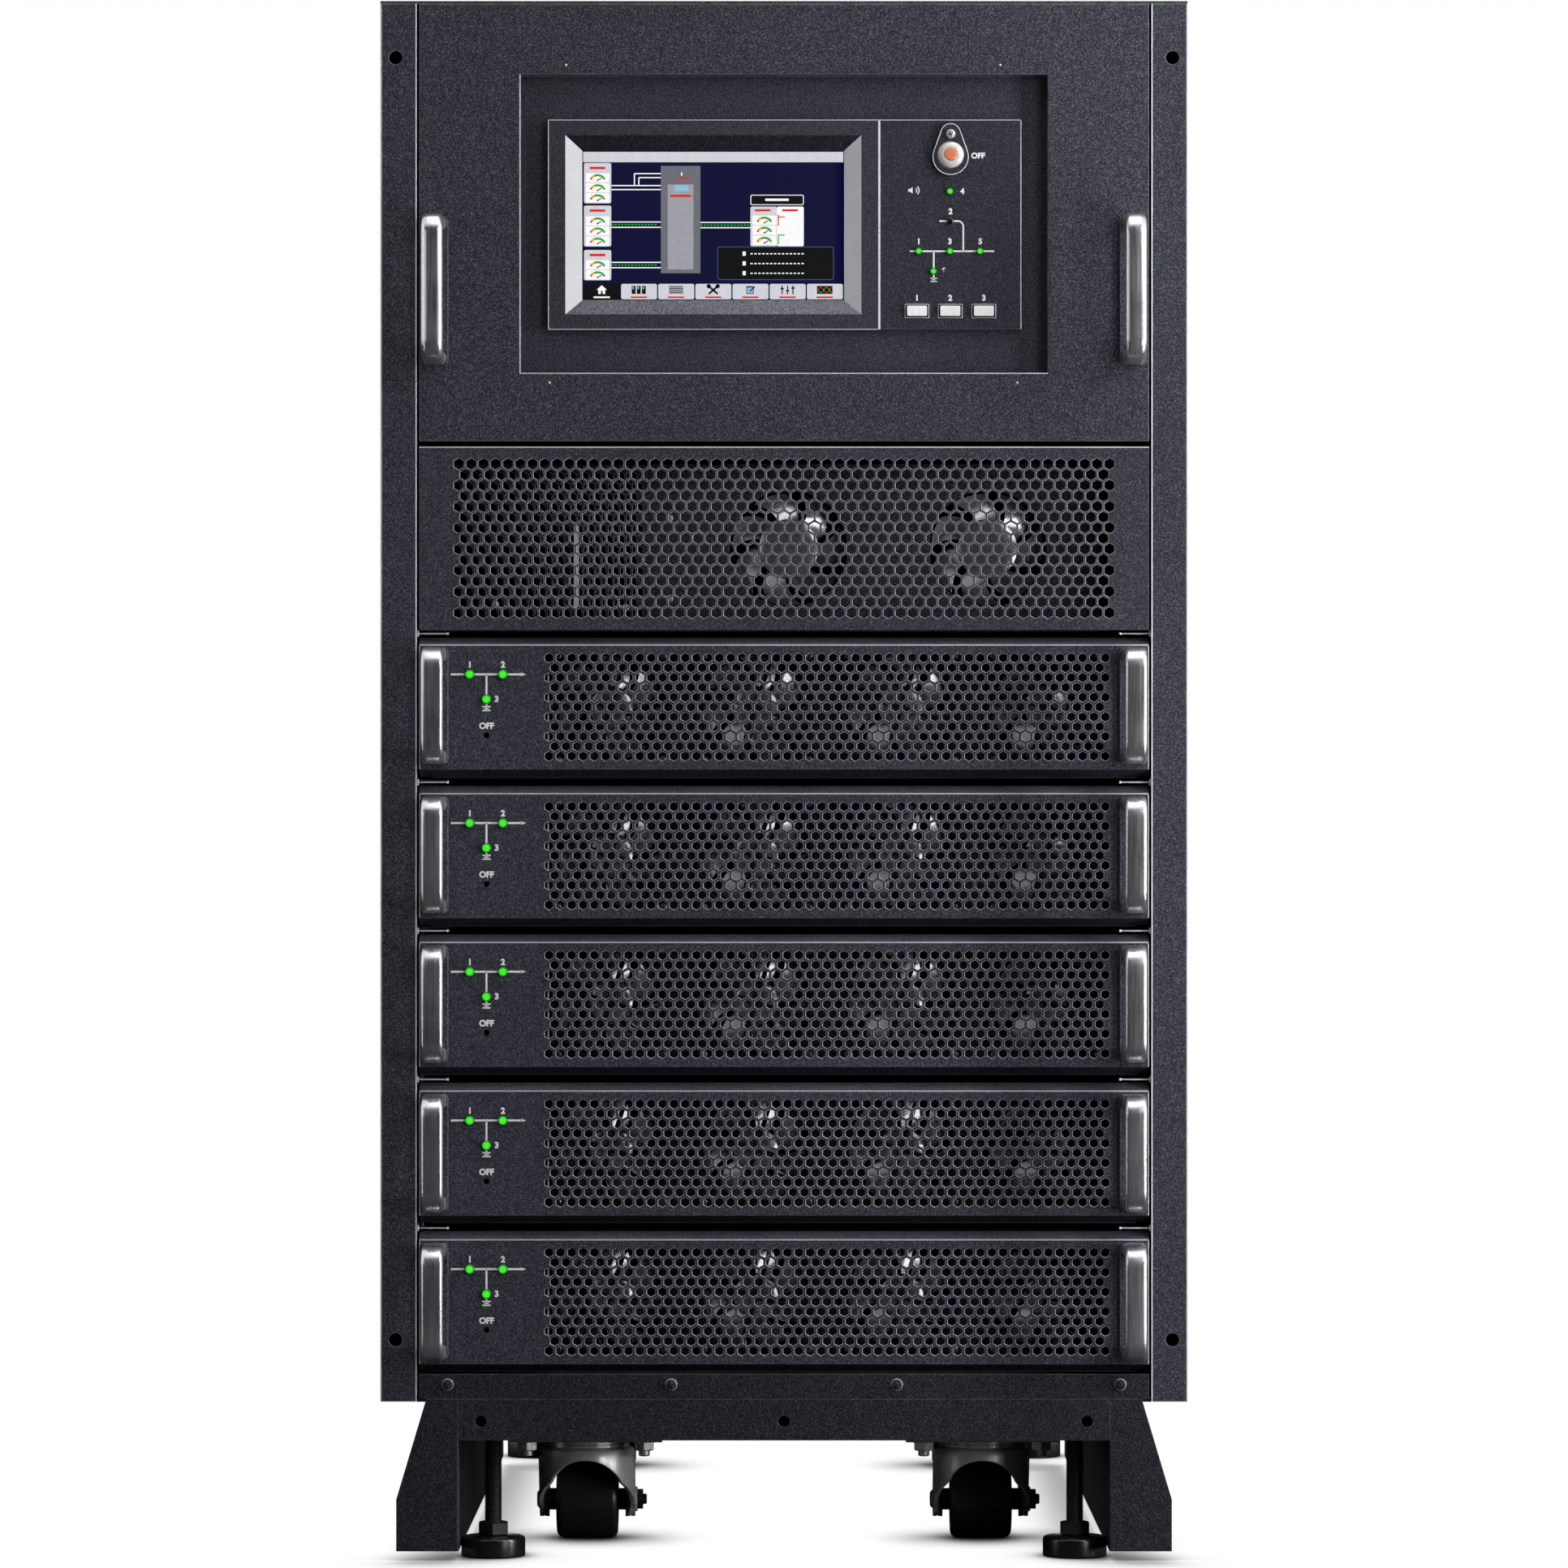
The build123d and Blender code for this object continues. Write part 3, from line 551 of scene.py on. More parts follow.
class Graph:
    """Short calls to add nodes to one tree and link them."""

    def __init__(self, tree):
        self.tree = tree

    def node(self, kind, settings=None, **inputs):
        """A node of a kind, with its settings and its inputs, where a blank in a name is an underscore."""
        made = self.tree.nodes.new(kind)
        for name, value in (settings or {}).items():
            setattr(made, name, value)
        for name, value in inputs.items():
            self.feed(made, name.replace("_", " "), value)
        return made

    def feed(self, node, name, value):
        """Link a socket to an input, or set the input's own value."""
        socket = node.inputs[int(name)] if name.isdigit() else node.inputs[name]
        if isinstance(value, bpy.types.NodeSocket):
            self.tree.links.new(value, socket)
        else:
            socket.default_value = value

    def math(self, operation, first, second=0.0):
        """One sum of two numbers."""
        made = self.tree.nodes.new("ShaderNodeMath")
        made.operation = operation
        self.feed(made, "0", first)
        self.feed(made, "1", second)
        return made.outputs[0]

    def ramp(self, value, low, high, start=0.0, end=1.0):
        """A value carried from one range to another, held at its ends."""
        made = self.node("ShaderNodeMapRange", Value=value, From_Min=low, From_Max=high, To_Min=start,
                         To_Max=end)
        return made.outputs["Result"]

    def blend(self, share, first, second):
        """A mix of two colours."""
        made = self.tree.nodes.new("ShaderNodeMix")
        made.data_type = "RGBA"
        for socket, value in (("Factor", share), ("A", first), ("B", second)):
            target = [s for s in made.inputs if s.name == socket and s.type != "VECTOR" and
                      (socket == "Factor" or s.type == "RGBA")][0]
            if isinstance(value, bpy.types.NodeSocket):
                self.tree.links.new(value, target)
            else:
                target.default_value = value
        return [s for s in made.outputs if s.type == "RGBA"][0]


def group(name, inputs, outputs, build):
    """A shader node group with named sockets, built once."""
    tree = bpy.data.node_groups.new(name, "ShaderNodeTree")
    for socket, kind, value in inputs:
        made = tree.interface.new_socket(socket, in_out="INPUT", socket_type=kind)
        made.default_value = value
    for socket, kind in outputs:
        tree.interface.new_socket(socket, in_out="OUTPUT", socket_type=kind)
    graph = Graph(tree)
    source = tree.nodes.new("NodeGroupInput").outputs
    result = tree.nodes.new("NodeGroupOutput").inputs
    for socket, value in build(graph, source).items():
        tree.links.new(value, result[socket])
    return tree


COLOR = "NodeSocketColor"
NUMBER = "NodeSocketFloat"


def build_powder(graph, source):
    """Fine orange-peel texture with pale specks and a slow change of tone."""
    place = graph.node("ShaderNodeTexCoord").outputs["Object"]
    grain = graph.node("ShaderNodeTexNoise", Vector=place, Scale=source["Grain"], Detail=3.0, Roughness=0.6)
    finer = graph.math("MULTIPLY", source["Grain"], 1.7)
    specks = graph.node("ShaderNodeTexNoise", Vector=place, Scale=finer, Detail=1.0)
    slow = graph.node("ShaderNodeTexNoise", Vector=place, Scale=tone_scale, Detail=2.0)
    bright = graph.ramp(specks.outputs["Fac"], 0.5, 0.68)
    dark = graph.ramp(grain.outputs["Fac"], 0.54, 0.36)
    tone = graph.ramp(slow.outputs["Fac"], 0.3, 0.7, 0.92, 1.08)
    speckled = graph.math("MULTIPLY", bright, source["Speck"])
    color = graph.blend(speckled, source["Color"], source["Speck Color"])
    color = graph.blend(graph.math("MULTIPLY", dark, 0.6), color, pit_color)
    toned = graph.node("ShaderNodeVectorMath", {"operation": "SCALE"})
    graph.feed(toned, "0", color)
    graph.feed(toned, "Scale", tone)
    rough = graph.ramp(grain.outputs["Fac"], 0.3, 0.7, 0.06, -0.06)
    return {
        "Color": toned.outputs[0],
        "Roughness": graph.math("ADD", source["Base Roughness"], rough),
        "Height": grain.outputs["Fac"],
    }


powder_group = group(
    "powder coat texture",
    [("Color", COLOR, (0.036, 0.038, 0.052, 1)), ("Speck Color", COLOR, (0.16, 0.165, 0.2, 1)),
     ("Speck", NUMBER, 0.5), ("Grain", NUMBER, 900.0), ("Base Roughness", NUMBER, 0.5)],
    [("Color", COLOR), ("Roughness", NUMBER), ("Height", NUMBER)], build_powder)


def build_edge_wear_and_highlight(graph, source):
    """A mask along outer edges, broken up by noise: partly rubbed edges and partly painted highlight."""
    rounded = graph.node("ShaderNodeBevel", {"samples": 6}, Radius=source["Radius"]).outputs["Normal"]
    flat = graph.node("ShaderNodeNewGeometry").outputs["Normal"]
    dot = graph.node("ShaderNodeVectorMath", {"operation": "DOT_PRODUCT"})
    graph.feed(dot, "0", rounded)
    graph.feed(dot, "1", flat)
    edge = graph.ramp(dot.outputs["Value"], 0.995, 0.9)
    place = graph.node("ShaderNodeTexCoord").outputs["Object"]
    broken = graph.node("ShaderNodeTexNoise", Vector=place, Scale=edge_break_scale, Detail=3.0).outputs["Fac"]
    worn_and_lit = graph.math("MULTIPLY", edge, graph.ramp(broken, 0.35, 0.6, 0.45, 1.0))
    return {"Mask": graph.math("MULTIPLY", worn_and_lit, source["Amount"]), "Normal": rounded}


edge_wear_and_highlight_group = group(
    "edge wear", [("Radius", NUMBER, 0.0008), ("Amount", NUMBER, 0.6)],
    [("Mask", NUMBER), ("Normal", "NodeSocketVector")], build_edge_wear_and_highlight)


def build_brushed(graph, source):
    """Fine drawn lines along one axis, for metal and moulded parts."""
    place = graph.node("ShaderNodeTexCoord").outputs["Object"]
    stretched = graph.node("ShaderNodeMapping", Vector=place)
    graph.tree.links.new(source["Stretch"], stretched.inputs["Scale"])
    lines = graph.node("ShaderNodeTexNoise", Vector=stretched.outputs[0], Scale=source["Grain"], Detail=4.0)
    cloud = graph.node("ShaderNodeTexNoise", Vector=place, Scale=cloud_scale, Detail=3.0)
    level = graph.math("ADD", graph.ramp(lines.outputs["Fac"], 0.3, 0.7, -0.5, 0.5),
                       graph.ramp(cloud.outputs["Fac"], 0.3, 0.7, -0.5, 0.5))
    share = graph.ramp(level, -1.0, 1.0)
    color = graph.blend(share, source["Dark"], source["Light"])
    rough = graph.math("MULTIPLY", level, source["Roughness Change"])
    return {
        "Color": color,
        "Roughness": graph.math("ADD", source["Base Roughness"], rough),
        "Height": lines.outputs["Fac"],
    }


even = (1, 1, 1)
brushed_group = group(
    "drawn metal",
    [("Dark", COLOR, (0.3, 0.3, 0.32, 1)), ("Light", COLOR, (0.5, 0.5, 0.52, 1)), ("Grain", NUMBER, 600.0),
     ("Stretch", "NodeSocketVector", (1.0, 1.0, 0.05)), ("Base Roughness", NUMBER, 0.35),
     ("Roughness Change", NUMBER, 0.08)],
    [("Color", COLOR), ("Roughness", NUMBER), ("Height", NUMBER)], build_brushed)


def build_dust(graph, source):
    """Faint dust on faces that look up."""
    up = graph.node("ShaderNodeSeparateXYZ", Vector=graph.node("ShaderNodeNewGeometry").outputs["Normal"])
    place = graph.node("ShaderNodeTexCoord").outputs["Object"]
    patches = graph.node("ShaderNodeTexNoise", Vector=place, Scale=dust_scale, Detail=6.0,
                         Roughness=0.7).outputs["Fac"]
    lying = graph.ramp(up.outputs["Z"], 0.5, 1.0)
    patchy = graph.ramp(patches, 0.4, 0.75)
    mask = graph.math("MULTIPLY", graph.math("MULTIPLY", lying, patchy), source["Amount"])
    return {
        "Color": graph.blend(mask, source["Color"], dust_color),
        "Roughness": graph.math("ADD", source["Roughness"], graph.math("MULTIPLY", mask, 0.3)),
    }


dust_group = group(
    "settled dust", [("Color", COLOR, (0, 0, 0, 1)), ("Roughness", NUMBER, 0.5), ("Amount", NUMBER, 0.2)],
    [("Color", COLOR), ("Roughness", NUMBER)], build_dust)


def use(graph, tree, **inputs):
    """Place a node group in a material with its own values."""
    made = graph.node("ShaderNodeGroup", {"node_tree": tree})
    for name, value in inputs.items():
        graph.feed(made, name.replace("_", " "), value)
    return made.outputs


def finish(name, metallic=0.0, specular=0.5):
    """A new material with its principled shader and graph."""
    made = bpy.data.materials.new(name)
    made.use_nodes = True
    shader = made.node_tree.nodes["Principled BSDF"]
    shader.inputs["Metallic"].default_value = metallic
    shader.inputs["Specular IOR Level"].default_value = specular
    return made, shader, Graph(made.node_tree)


def powder_finish(name, color, speck_color, speck, roughness, wear_and_highlight=0.55, radius=0.8, bump=0.3, grain=900.0,
                  dust=0.12, specular=0.12):
    """Textured powder coat on sheet metal, with bright edges that are partly rubbed bare and partly painted
    highlight.
    """
    made, shader, graph = finish(name, 0.0, specular)
    coat = use(graph, powder_group, Color=(*color, 1), Speck_Color=(*speck_color, 1), Speck=speck,
               Grain=grain, Base_Roughness=roughness)
    worn_and_lit = use(graph, edge_wear_and_highlight_group, Radius=radius * MM, Amount=wear_and_highlight)
    dusty = use(graph, dust_group, Color=coat["Color"], Roughness=coat["Roughness"], Amount=dust)
    color_out = graph.blend(worn_and_lit["Mask"], dusty["Color"], worn_and_highlight_color)
    bumped = graph.node("ShaderNodeBump", Height=coat["Height"], Normal=worn_and_lit["Normal"], Strength=bump,
                        Distance=powder_bump)
    graph.feed(shader, "Base Color", color_out)
    graph.feed(shader, "Roughness", dusty["Roughness"])
    graph.feed(shader, "Normal", bumped.outputs[0])
    return made


def metal_finish(name, dark, light, roughness, metallic=1.0, grain=600.0, stretch=(1, 1, 0.05), bump=0.05,
                 change=0.08, radius=0.4):
    """Drawn, plated or cast metal."""
    made, shader, graph = finish(name, metallic)
    drawn = use(graph, brushed_group, Dark=(*dark, 1), Light=(*light, 1), Grain=grain, Stretch=stretch,
                Base_Roughness=roughness, Roughness_Change=change)
    soft = graph.node("ShaderNodeBevel", {"samples": 4}, Radius=radius * MM)
    bumped = graph.node("ShaderNodeBump", Height=drawn["Height"], Normal=soft.outputs[0], Strength=bump,
                        Distance=metal_bump)
    graph.feed(shader, "Base Color", drawn["Color"])
    graph.feed(shader, "Roughness", drawn["Roughness"])
    graph.feed(shader, "Normal", bumped.outputs[0])
    return made


def plastic_finish(name, color, roughness, change=0.03, grain=400.0, bump=0.05, specular=0.5, coat=0.0):
    """Moulded plastic with a faint grain."""
    made, shader, graph = finish(name, 0.0, specular)
    shade = tuple(channel * 0.8 for channel in color)
    drawn = use(graph, brushed_group, Dark=(*shade, 1), Light=(*color, 1), Grain=grain, Stretch=even,
                Base_Roughness=roughness, Roughness_Change=change)
    soft = graph.node("ShaderNodeBevel", {"samples": 4}, Radius=plastic_round * MM)
    bumped = graph.node("ShaderNodeBump", Height=drawn["Height"], Normal=soft.outputs[0], Strength=bump,
                        Distance=plastic_bump)
    graph.feed(shader, "Base Color", drawn["Color"])
    graph.feed(shader, "Roughness", drawn["Roughness"])
    graph.feed(shader, "Normal", bumped.outputs[0])
    shader.inputs["Coat Weight"].default_value = coat
    return made


def glow_finish(name, color, strength, roughness=0.3):
    """A lit lamp or a lit part of the screen."""
    made, shader, graph = finish(name, 0.0, 0.0)
    place = graph.node("ShaderNodeTexCoord").outputs["Object"]
    cloud = graph.node("ShaderNodeTexNoise", Vector=place, Scale=glow_scale, Detail=1.0).outputs["Fac"]
    pale = tuple(min(1.0, channel * 1.08) for channel in color)
    lit = graph.blend(graph.ramp(cloud, 0.3, 0.7), (*color, 1), (*pale, 1))
    shader.inputs["Base Color"].default_value = unlit_color
    graph.feed(shader, "Emission Color", lit)
    shader.inputs["Emission Strength"].default_value = strength
    shader.inputs["Roughness"].default_value = roughness
    return made


coat_color = (0.0275, 0.0286, 0.041)
speck_color = (0.2, 0.205, 0.24)
powder = powder_finish("textured powder coat", coat_color, speck_color, 0.75, 0.48)
side_powder = powder_finish("column powder coat", (0.0285, 0.0298, 0.042), speck_color, 0.65, 0.5, radius=1.0)
perforated_powder = powder_finish("perforated powder coat", (0.0325, 0.0335, 0.047), speck_color, 0.6, 0.42,
                                  wear_and_highlight=0.6, radius=0.3)
# A darker copy of the powder coat, painted shade on the low base parts, the modules' lower folds and the rail
# screw heads.
painted_shade_powder = powder_finish("powder coat darkened as painted shade", (0.0125, 0.0132, 0.019), speck_color, 0.35, 0.5, wear_and_highlight=0.15)
# Light rims round the holes: painted highlight on the broken edges.
rim_highlight_powder = powder_finish("hole rims painted highlight", (0.34, 0.35, 0.4), (0.6, 0.61, 0.66), 0.3, 0.35, wear_and_highlight=0.3,
                           radius=0.15, dust=0.0)
# Painted highlights: light and near-white strips that stand for the light caught by rounded edges and seams.
edge_highlight_paint = metal_finish("painted edge highlight", (0.5, 0.505, 0.54), (0.66, 0.665, 0.7), 0.35, 0.3, stretch=even)
edge_glint_paint = metal_finish("painted edge glint", (0.78, 0.78, 0.8), (0.92, 0.92, 0.94), 0.3, 0.2, stretch=even)
# Lit and shaded copies of one coat for the bezel's slopes: a painted highlight, painted side light, painted
# lower light and painted shade.
silver_highlight_paint = metal_finish("painted silver highlight", (0.84, 0.84, 0.86), (0.94, 0.94, 0.95), 0.35, 0.1, stretch=even)
bevel_side_light_paint = metal_finish("bevel painted side light", (0.4, 0.41, 0.45), (0.5, 0.51, 0.55), 0.35, 0.1, stretch=even)
bevel_lower_light_paint = powder_finish("bevel painted lower light", (0.17, 0.175, 0.2), (0.4, 0.405, 0.44), 0.6, 0.45, wear_and_highlight=0.1)
bevel_shade_paint = powder_finish("bevel painted upper shade", (0.0075, 0.0078, 0.0115), speck_color, 0.2, 0.45, wear_and_highlight=0.1)
recess_powder = powder_finish("recess powder coat", (0.03, 0.0315, 0.044), speck_color, 0.6, 0.5)
bezel_powder = powder_finish("bezel coat", (0.04, 0.041, 0.055), speck_color, 0.3, 0.42, radius=0.6)
control_powder = powder_finish("control plate coat", (0.028, 0.03, 0.042), speck_color, 0.3, 0.45, radius=0.6)
zinc = metal_finish("plated steel", (0.3, 0.31, 0.33), (0.5, 0.51, 0.54), 0.36, stretch=even, grain=90.0)
inner_powder = powder_finish("inner powder coat", (0.036, 0.0375, 0.05), speck_color, 0.6, 0.4, wear_and_highlight=0.3)
dark_steel = metal_finish("inner steel", (0.016, 0.017, 0.022), (0.03, 0.031, 0.04), 0.45, 0.5, stretch=even)
handle_metal = metal_finish("handle metal", (0.6, 0.6, 0.63), (0.72, 0.72, 0.75), 0.29, 0.94, 700.0,
                            (1, 1, 0.04))
fork_metal = metal_finish("fork steel", (0.72, 0.72, 0.74), (0.86, 0.86, 0.88), 0.34, 0.35, 500.0,
                          (1, 1, 0.3))
fork_rim = metal_finish("fork rim", (0.6, 0.6, 0.62), (0.8, 0.8, 0.82), 0.3, 0.3, 500.0, even)
stud_metal = metal_finish("stud steel", (0.03, 0.03, 0.033), (0.07, 0.07, 0.075), 0.3, 0.7, 500.0, even)
nut_metal = metal_finish("nut steel", (0.06, 0.06, 0.065), (0.12, 0.12, 0.125), 0.3, 0.8, 500.0, even)
bright_metal = metal_finish("bright steel", (0.6, 0.6, 0.62), (0.8, 0.8, 0.82), 0.25, 0.5, 500.0, (1, 1, 0.3))
fan_plastic = metal_finish("fan plastic", (0.44, 0.44, 0.46), (0.54, 0.54, 0.56), 0.2, 0.8, 400.0, even)
frame_plastic = plastic_finish("fan housing plastic", (0.014, 0.014, 0.016), 0.32)
wheel_plastic = plastic_finish("wheel nylon", (0.026, 0.026, 0.031), 0.35, bump=0.1)
foot_plastic = plastic_finish("foot plastic", (0.01, 0.01, 0.012), 0.22, bump=0.03, specular=0.6)
white_print = plastic_finish("white print", (0.95, 0.95, 0.96), 0.5)
key_white = plastic_finish("key white", (0.96, 0.96, 0.97), 0.35)
dome_white = plastic_finish("dome white", (0.72, 0.68, 0.66), 0.12, coat=0.6)
dome_orange = plastic_finish("dome orange", (0.86, 0.24, 0.12), 0.18, coat=0.5)
guard_black = plastic_finish("guard black", (0.012, 0.012, 0.016), 0.3)
lamp_green = glow_finish("lamp green", (0.012, 0.55, 0.01), 0.9)
lamp_core = glow_finish("lamp core", (0.07, 0.82, 0.03), 1.0)
lamp_dark = plastic_finish("unlit lamp", (0.006, 0.006, 0.007), 0.12)
gap_shade_black = plastic_finish("painted gap shade", (0.006, 0.006, 0.007), 0.7)
# Near black for screw recesses and holes: painted shade.
hollow_shade_black = plastic_finish("painted hollow shade", (0.003, 0.003, 0.004), 0.7)
screen_tones = {
    "navy": ((0.0, 0.0, 0.05), 0.6, 0.12),
    "pale": ((0.68, 0.68, 0.74), 0.9),
    "white": ((0.92, 0.92, 0.93), 1.0),
    "grey": ((0.16, 0.165, 0.19), 0.9),
    "green": ((0.01, 0.4, 0.03), 0.9),
    "red": ((0.72, 0.015, 0.015), 0.9),
    "black": ((0.001, 0.001, 0.002), 0.4),
    "amber": ((0.85, 0.4, 0.0), 0.9),
    "steel": ((0.36, 0.36, 0.4), 0.9),
    "blue": ((0.28, 0.55, 0.75), 0.9),
    "frame": ((0.045, 0.085, 0.25), 0.9),
}
screen_finishes = [glow_finish("screen " + name, *values) for name, values in screen_tones.items()]
layers = {name: number for number, name in enumerate(screen_tones)}


def repaint(made, *nodes):
    """Give CAD nodes a finished material."""
    for name in nodes:
        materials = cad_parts[name].data.materials
        materials.clear()
        materials.append(made)


# Perforated sheets
def perforated_sheet(shape, rectangle, centre, rows, columns, pitch, flats, y, thickness, extra=()):
    """A sheet with staggered hexagonal holes, their rims broken, and any round holes, as one closed skin; the
    broken rims take the second finish, a painted highlight.
    """
    left, right, bottom, top = rectangle
    work = bmesh.new()
    rings = []
    cells = []
    row_pitch = pitch * math.sqrt(3) / 2
    turn = quarter_turn
    cell = regular(6, pitch / math.sqrt(3), turn)
    rim_outline = regular(6, flats / math.sqrt(3) + rim_width, turn)
    hole = regular(6, flats / math.sqrt(3), turn)
    for row in range(rows):
        count = columns - row % 2
        z = centre[1] + (row - (rows - 1) / 2) * row_pitch
        for column in range(count):
            x = centre[0] + (column - (count - 1) / 2) * pitch
            outer = [work.verts.new((x + dx, y, z + dz)) for dx, dz in cell]
            middle = [work.verts.new((x + dx, y, z + dz)) for dx, dz in rim_outline]
            rings += middle
            cells += outer
            inner = [(x + dx, z + dz) for dx, dz in hole]
            for index in range(6):
                after = (index + 1) % 6
                work.faces.new((outer[index], outer[after], middle[after], middle[index]))
            front_ring = [(x + dx, y, z + dz) for dx, dz in rim_outline]
            sunk_ring = [(a, y + rim_width, b) for a, b in inner]
            back_ring = [(a, y + thickness, b) for a, b in inner]
            points = front_ring + sunk_ring + back_ring
            faces = []
            for level in (0, 6):
                for k in range(6):
                    after = (k + 1) % 6
                    faces.append((level + k, level + after, level + 6 + after, level + 6 + k))
            # The broken rims take the second finish: painted highlight.
            shape.add(points, faces, 1)
    bmesh.ops.remove_doubles(work, verts=cells, dist=merge_distance)
    inner_set = set(rings)
    rim = [edge for edge in work.edges
           if len(edge.link_faces) == 1 and edge.verts[0] not in inner_set and edge.verts[1] not in inner_set]
    corners = frame_corners(left, right, bottom, top)
    loops = [corners]
    loops += [[(x + dx, z + dz) for dx, dz in regular(round_hole_sides, radius)] for x, z, radius in extra]
    for loop in loops:
        made = [work.verts.new((x, y, z)) for x, z in loop]
        rim += [work.edges.new((made[index], made[(index + 1) % len(made)])) for index in range(len(made))]
    bmesh.ops.triangle_fill(work, use_beauty=True, use_dissolve=False, edges=rim, normal=(0, -1, 0))
    for face in work.faces:
        if face.normal.y > 0:
            face.normal_flip()
    work.verts.index_update()
    faces = [[vert.index for vert in face.verts] for face in work.faces]
    shape.add([vert.co for vert in work.verts], faces)
    shape.add([vert.co + Vector((0, thickness, 0)) for vert in work.verts], [face[::-1] for face in faces])
    points = [(a, y + step, b) for step in (0, thickness) for a, b in corners]
    shape.add(points, [(k, (k + 1) % 4, 4 + (k + 1) % 4, 4 + k) for k in range(4)])
    work.free()


def folded_strip(shape, points, left, right, thickness, finish=0):
    """A folded plate whose line runs through points of (depth, height), carried from left to right."""
    for (y0, z0), (y1, z1) in zip(points, points[1:]):
        run = Vector((0, y1 - y0, z1 - z0)).normalized()
        inward = Vector((0, -run.z, run.y)) * thickness
        low = [Vector((x, y0, z0)) for x in (left, right)] + [Vector((x, y1, z1)) for x in (right, left)]
        shape.add(low + [point + inward for point in low], slab_faces, finish)


def painted_highlight_line(shape, start, end, y, finish, width=edge_width):
    """A narrow painted highlight strip along a straight line of the front, standing for the light caught by
    an edge.
    """
    x0, x1 = sorted((start[0], end[0]))
    z0, z1 = sorted((start[1], end[1]))
    if x1 - x0 > z1 - z0:
        z0 -= width / 2
        z1 += width / 2
    else:
        x0 -= width / 2
        x1 += width / 2
    shape.box((x0, y - edge_stand, z0), (x1, y + edge_sink, z1), finish)


def fan_section():
    """The perforated cover of the fan section, with its flanges turned back."""
    low, high = node_box("fan_section_grille")
    shape = Shape()
    y = front / MM
    perforated_sheet(shape, (-cover_half, cover_half, low.z, high.z), (0, grille_centre_z), grille_rows,
                     grille_columns, grille_pitch, grille_flats, y, sheet_thickness)
    for z, inward in ((low.z, 1), (high.z, -1)):
        ends = sorted((z, z + inward * sheet_thickness))
        shape.box((-cover_half, y + sheet_thickness, ends[0]), (cover_half, y + cover_flange, ends[1]))
    for side in (-1, 1):
        ends = sorted((side * cover_half, side * (cover_half - sheet_thickness)))
        shape.box((ends[0], y + sheet_thickness, low.z), (ends[1], y + cover_flange, high.z))
    # A painted highlight along the cover's upper edge.
    line_z = high.z - edge_width / 2
    painted_highlight_line(shape, (-cover_half, line_z), (cover_half, line_z), y, 2)
    finishes = [perforated_powder, rim_highlight_powder, edge_highlight_paint]
    settle(shape.piece("fan_section_cover", finishes, smooth=False), "cabinet", "powder_coat",
           "fan_section_grille")


def intake():
    """The second mesh behind the left of the cover, with the rib and the screws of the plate behind it."""
    low = node_box("fan_section_plate")[0]
    y = low.y
    shape = Shape()
    perforated_sheet(shape, (intake_left, intake_right, low.z + intake_inset, intake_top),
                     ((intake_left + intake_right) / 2, grille_centre_z - intake_drop), intake_rows,
                     intake_columns, grille_pitch, grille_flats, y, sheet_thickness)
    finishes = [perforated_powder, rim_highlight_powder]
    settle(shape.piece("intake_mesh", finishes, smooth=False), "cabinet", "powder_coat")
    shape = Shape()
    # The rib is painted near white: a painted highlight on its edge.
    shape.box((rib_left, y - rib_reach, rib_bottom), (rib_right, y - rib_gap, rib_top), 2)
    for x, z in intake_screws:
        screw(shape, x, y, z, intake_screw_radius)
    finishes = [bright_metal, hollow_shade_black, silver_highlight_paint]
    settle(shape.piece("intake_fixings", finishes), "cabinet", "plated_steel")


def rear_gap_shades():
    """Two near-black sheets that close the gaps beside the rear panel: painted shade."""
    shape = Shape()
    far = rear / MM - gap_sheet_inset
    for side in (-1, 1):
        x0, x1 = sorted((side * gap_sheet_inner, side * gap_sheet_outer))
        shape.box((x0, far, gap_sheet_bottom), (x1, far + gap_sheet_thickness, gap_sheet_top))
    settle(shape.piece("rear_gap_shades", [gap_shade_black], smooth=False), "cabinet", "panel_dark")


def module_front(name):
    """A module's bevelled front: the perforated face, its sloping edges and its end caps."""
    low, high = node_box(name + "_front")
    bottom = low.z + fold_rise
    top = high.z - fold_rise
    right = cover_half
    y = front / MM
    shape = Shape()
    perforated_sheet(shape, (-right, right, bottom, top), (module_centre_x, bottom + module_centre_rise),
                     module_rows, module_columns, module_pitch, module_flats, y, sheet_thickness,
                     [(module_button_x, bottom + module_button_rise, module_button_radius)])
    back = y + fold_depth
    folded_strip(shape, [(y, top), (back, top + fold_rise)], -right, right, -sheet_thickness)
    # The lower fold takes the darkened powder coat: painted shade on a face that looks down.
    folded_strip(shape, [(y, bottom), (back, bottom - fold_rise)], -right, right, sheet_thickness, 3)
    for side in (-1, 1):
        x0, x1 = sorted((side * right, side * (right - sheet_thickness)))
        outline = [(y + edge_sink, bottom), (y + edge_sink, top), (back, top + fold_rise),
                   (back, bottom - fold_rise)]
        shape.slab([[(x, a, b) for a, b in outline] for x in (x0, x1)])
    # Painted highlights along the face's upper edge and both side edges.
    painted_highlight_line(shape, (-right, top - edge_width / 2), (right, top - edge_width / 2), y, 2)
    for side in (-1, 1):
        x = side * (right - thin_edge / 2)
        painted_highlight_line(shape, (x, bottom), (x, top), y, 2, thin_edge)
    finishes = [perforated_powder, rim_highlight_powder, edge_highlight_paint, painted_shade_powder]
    settle(shape.piece(name + "_face", finishes, smooth=False), name, "powder_coat", name + "_front")
    return bottom


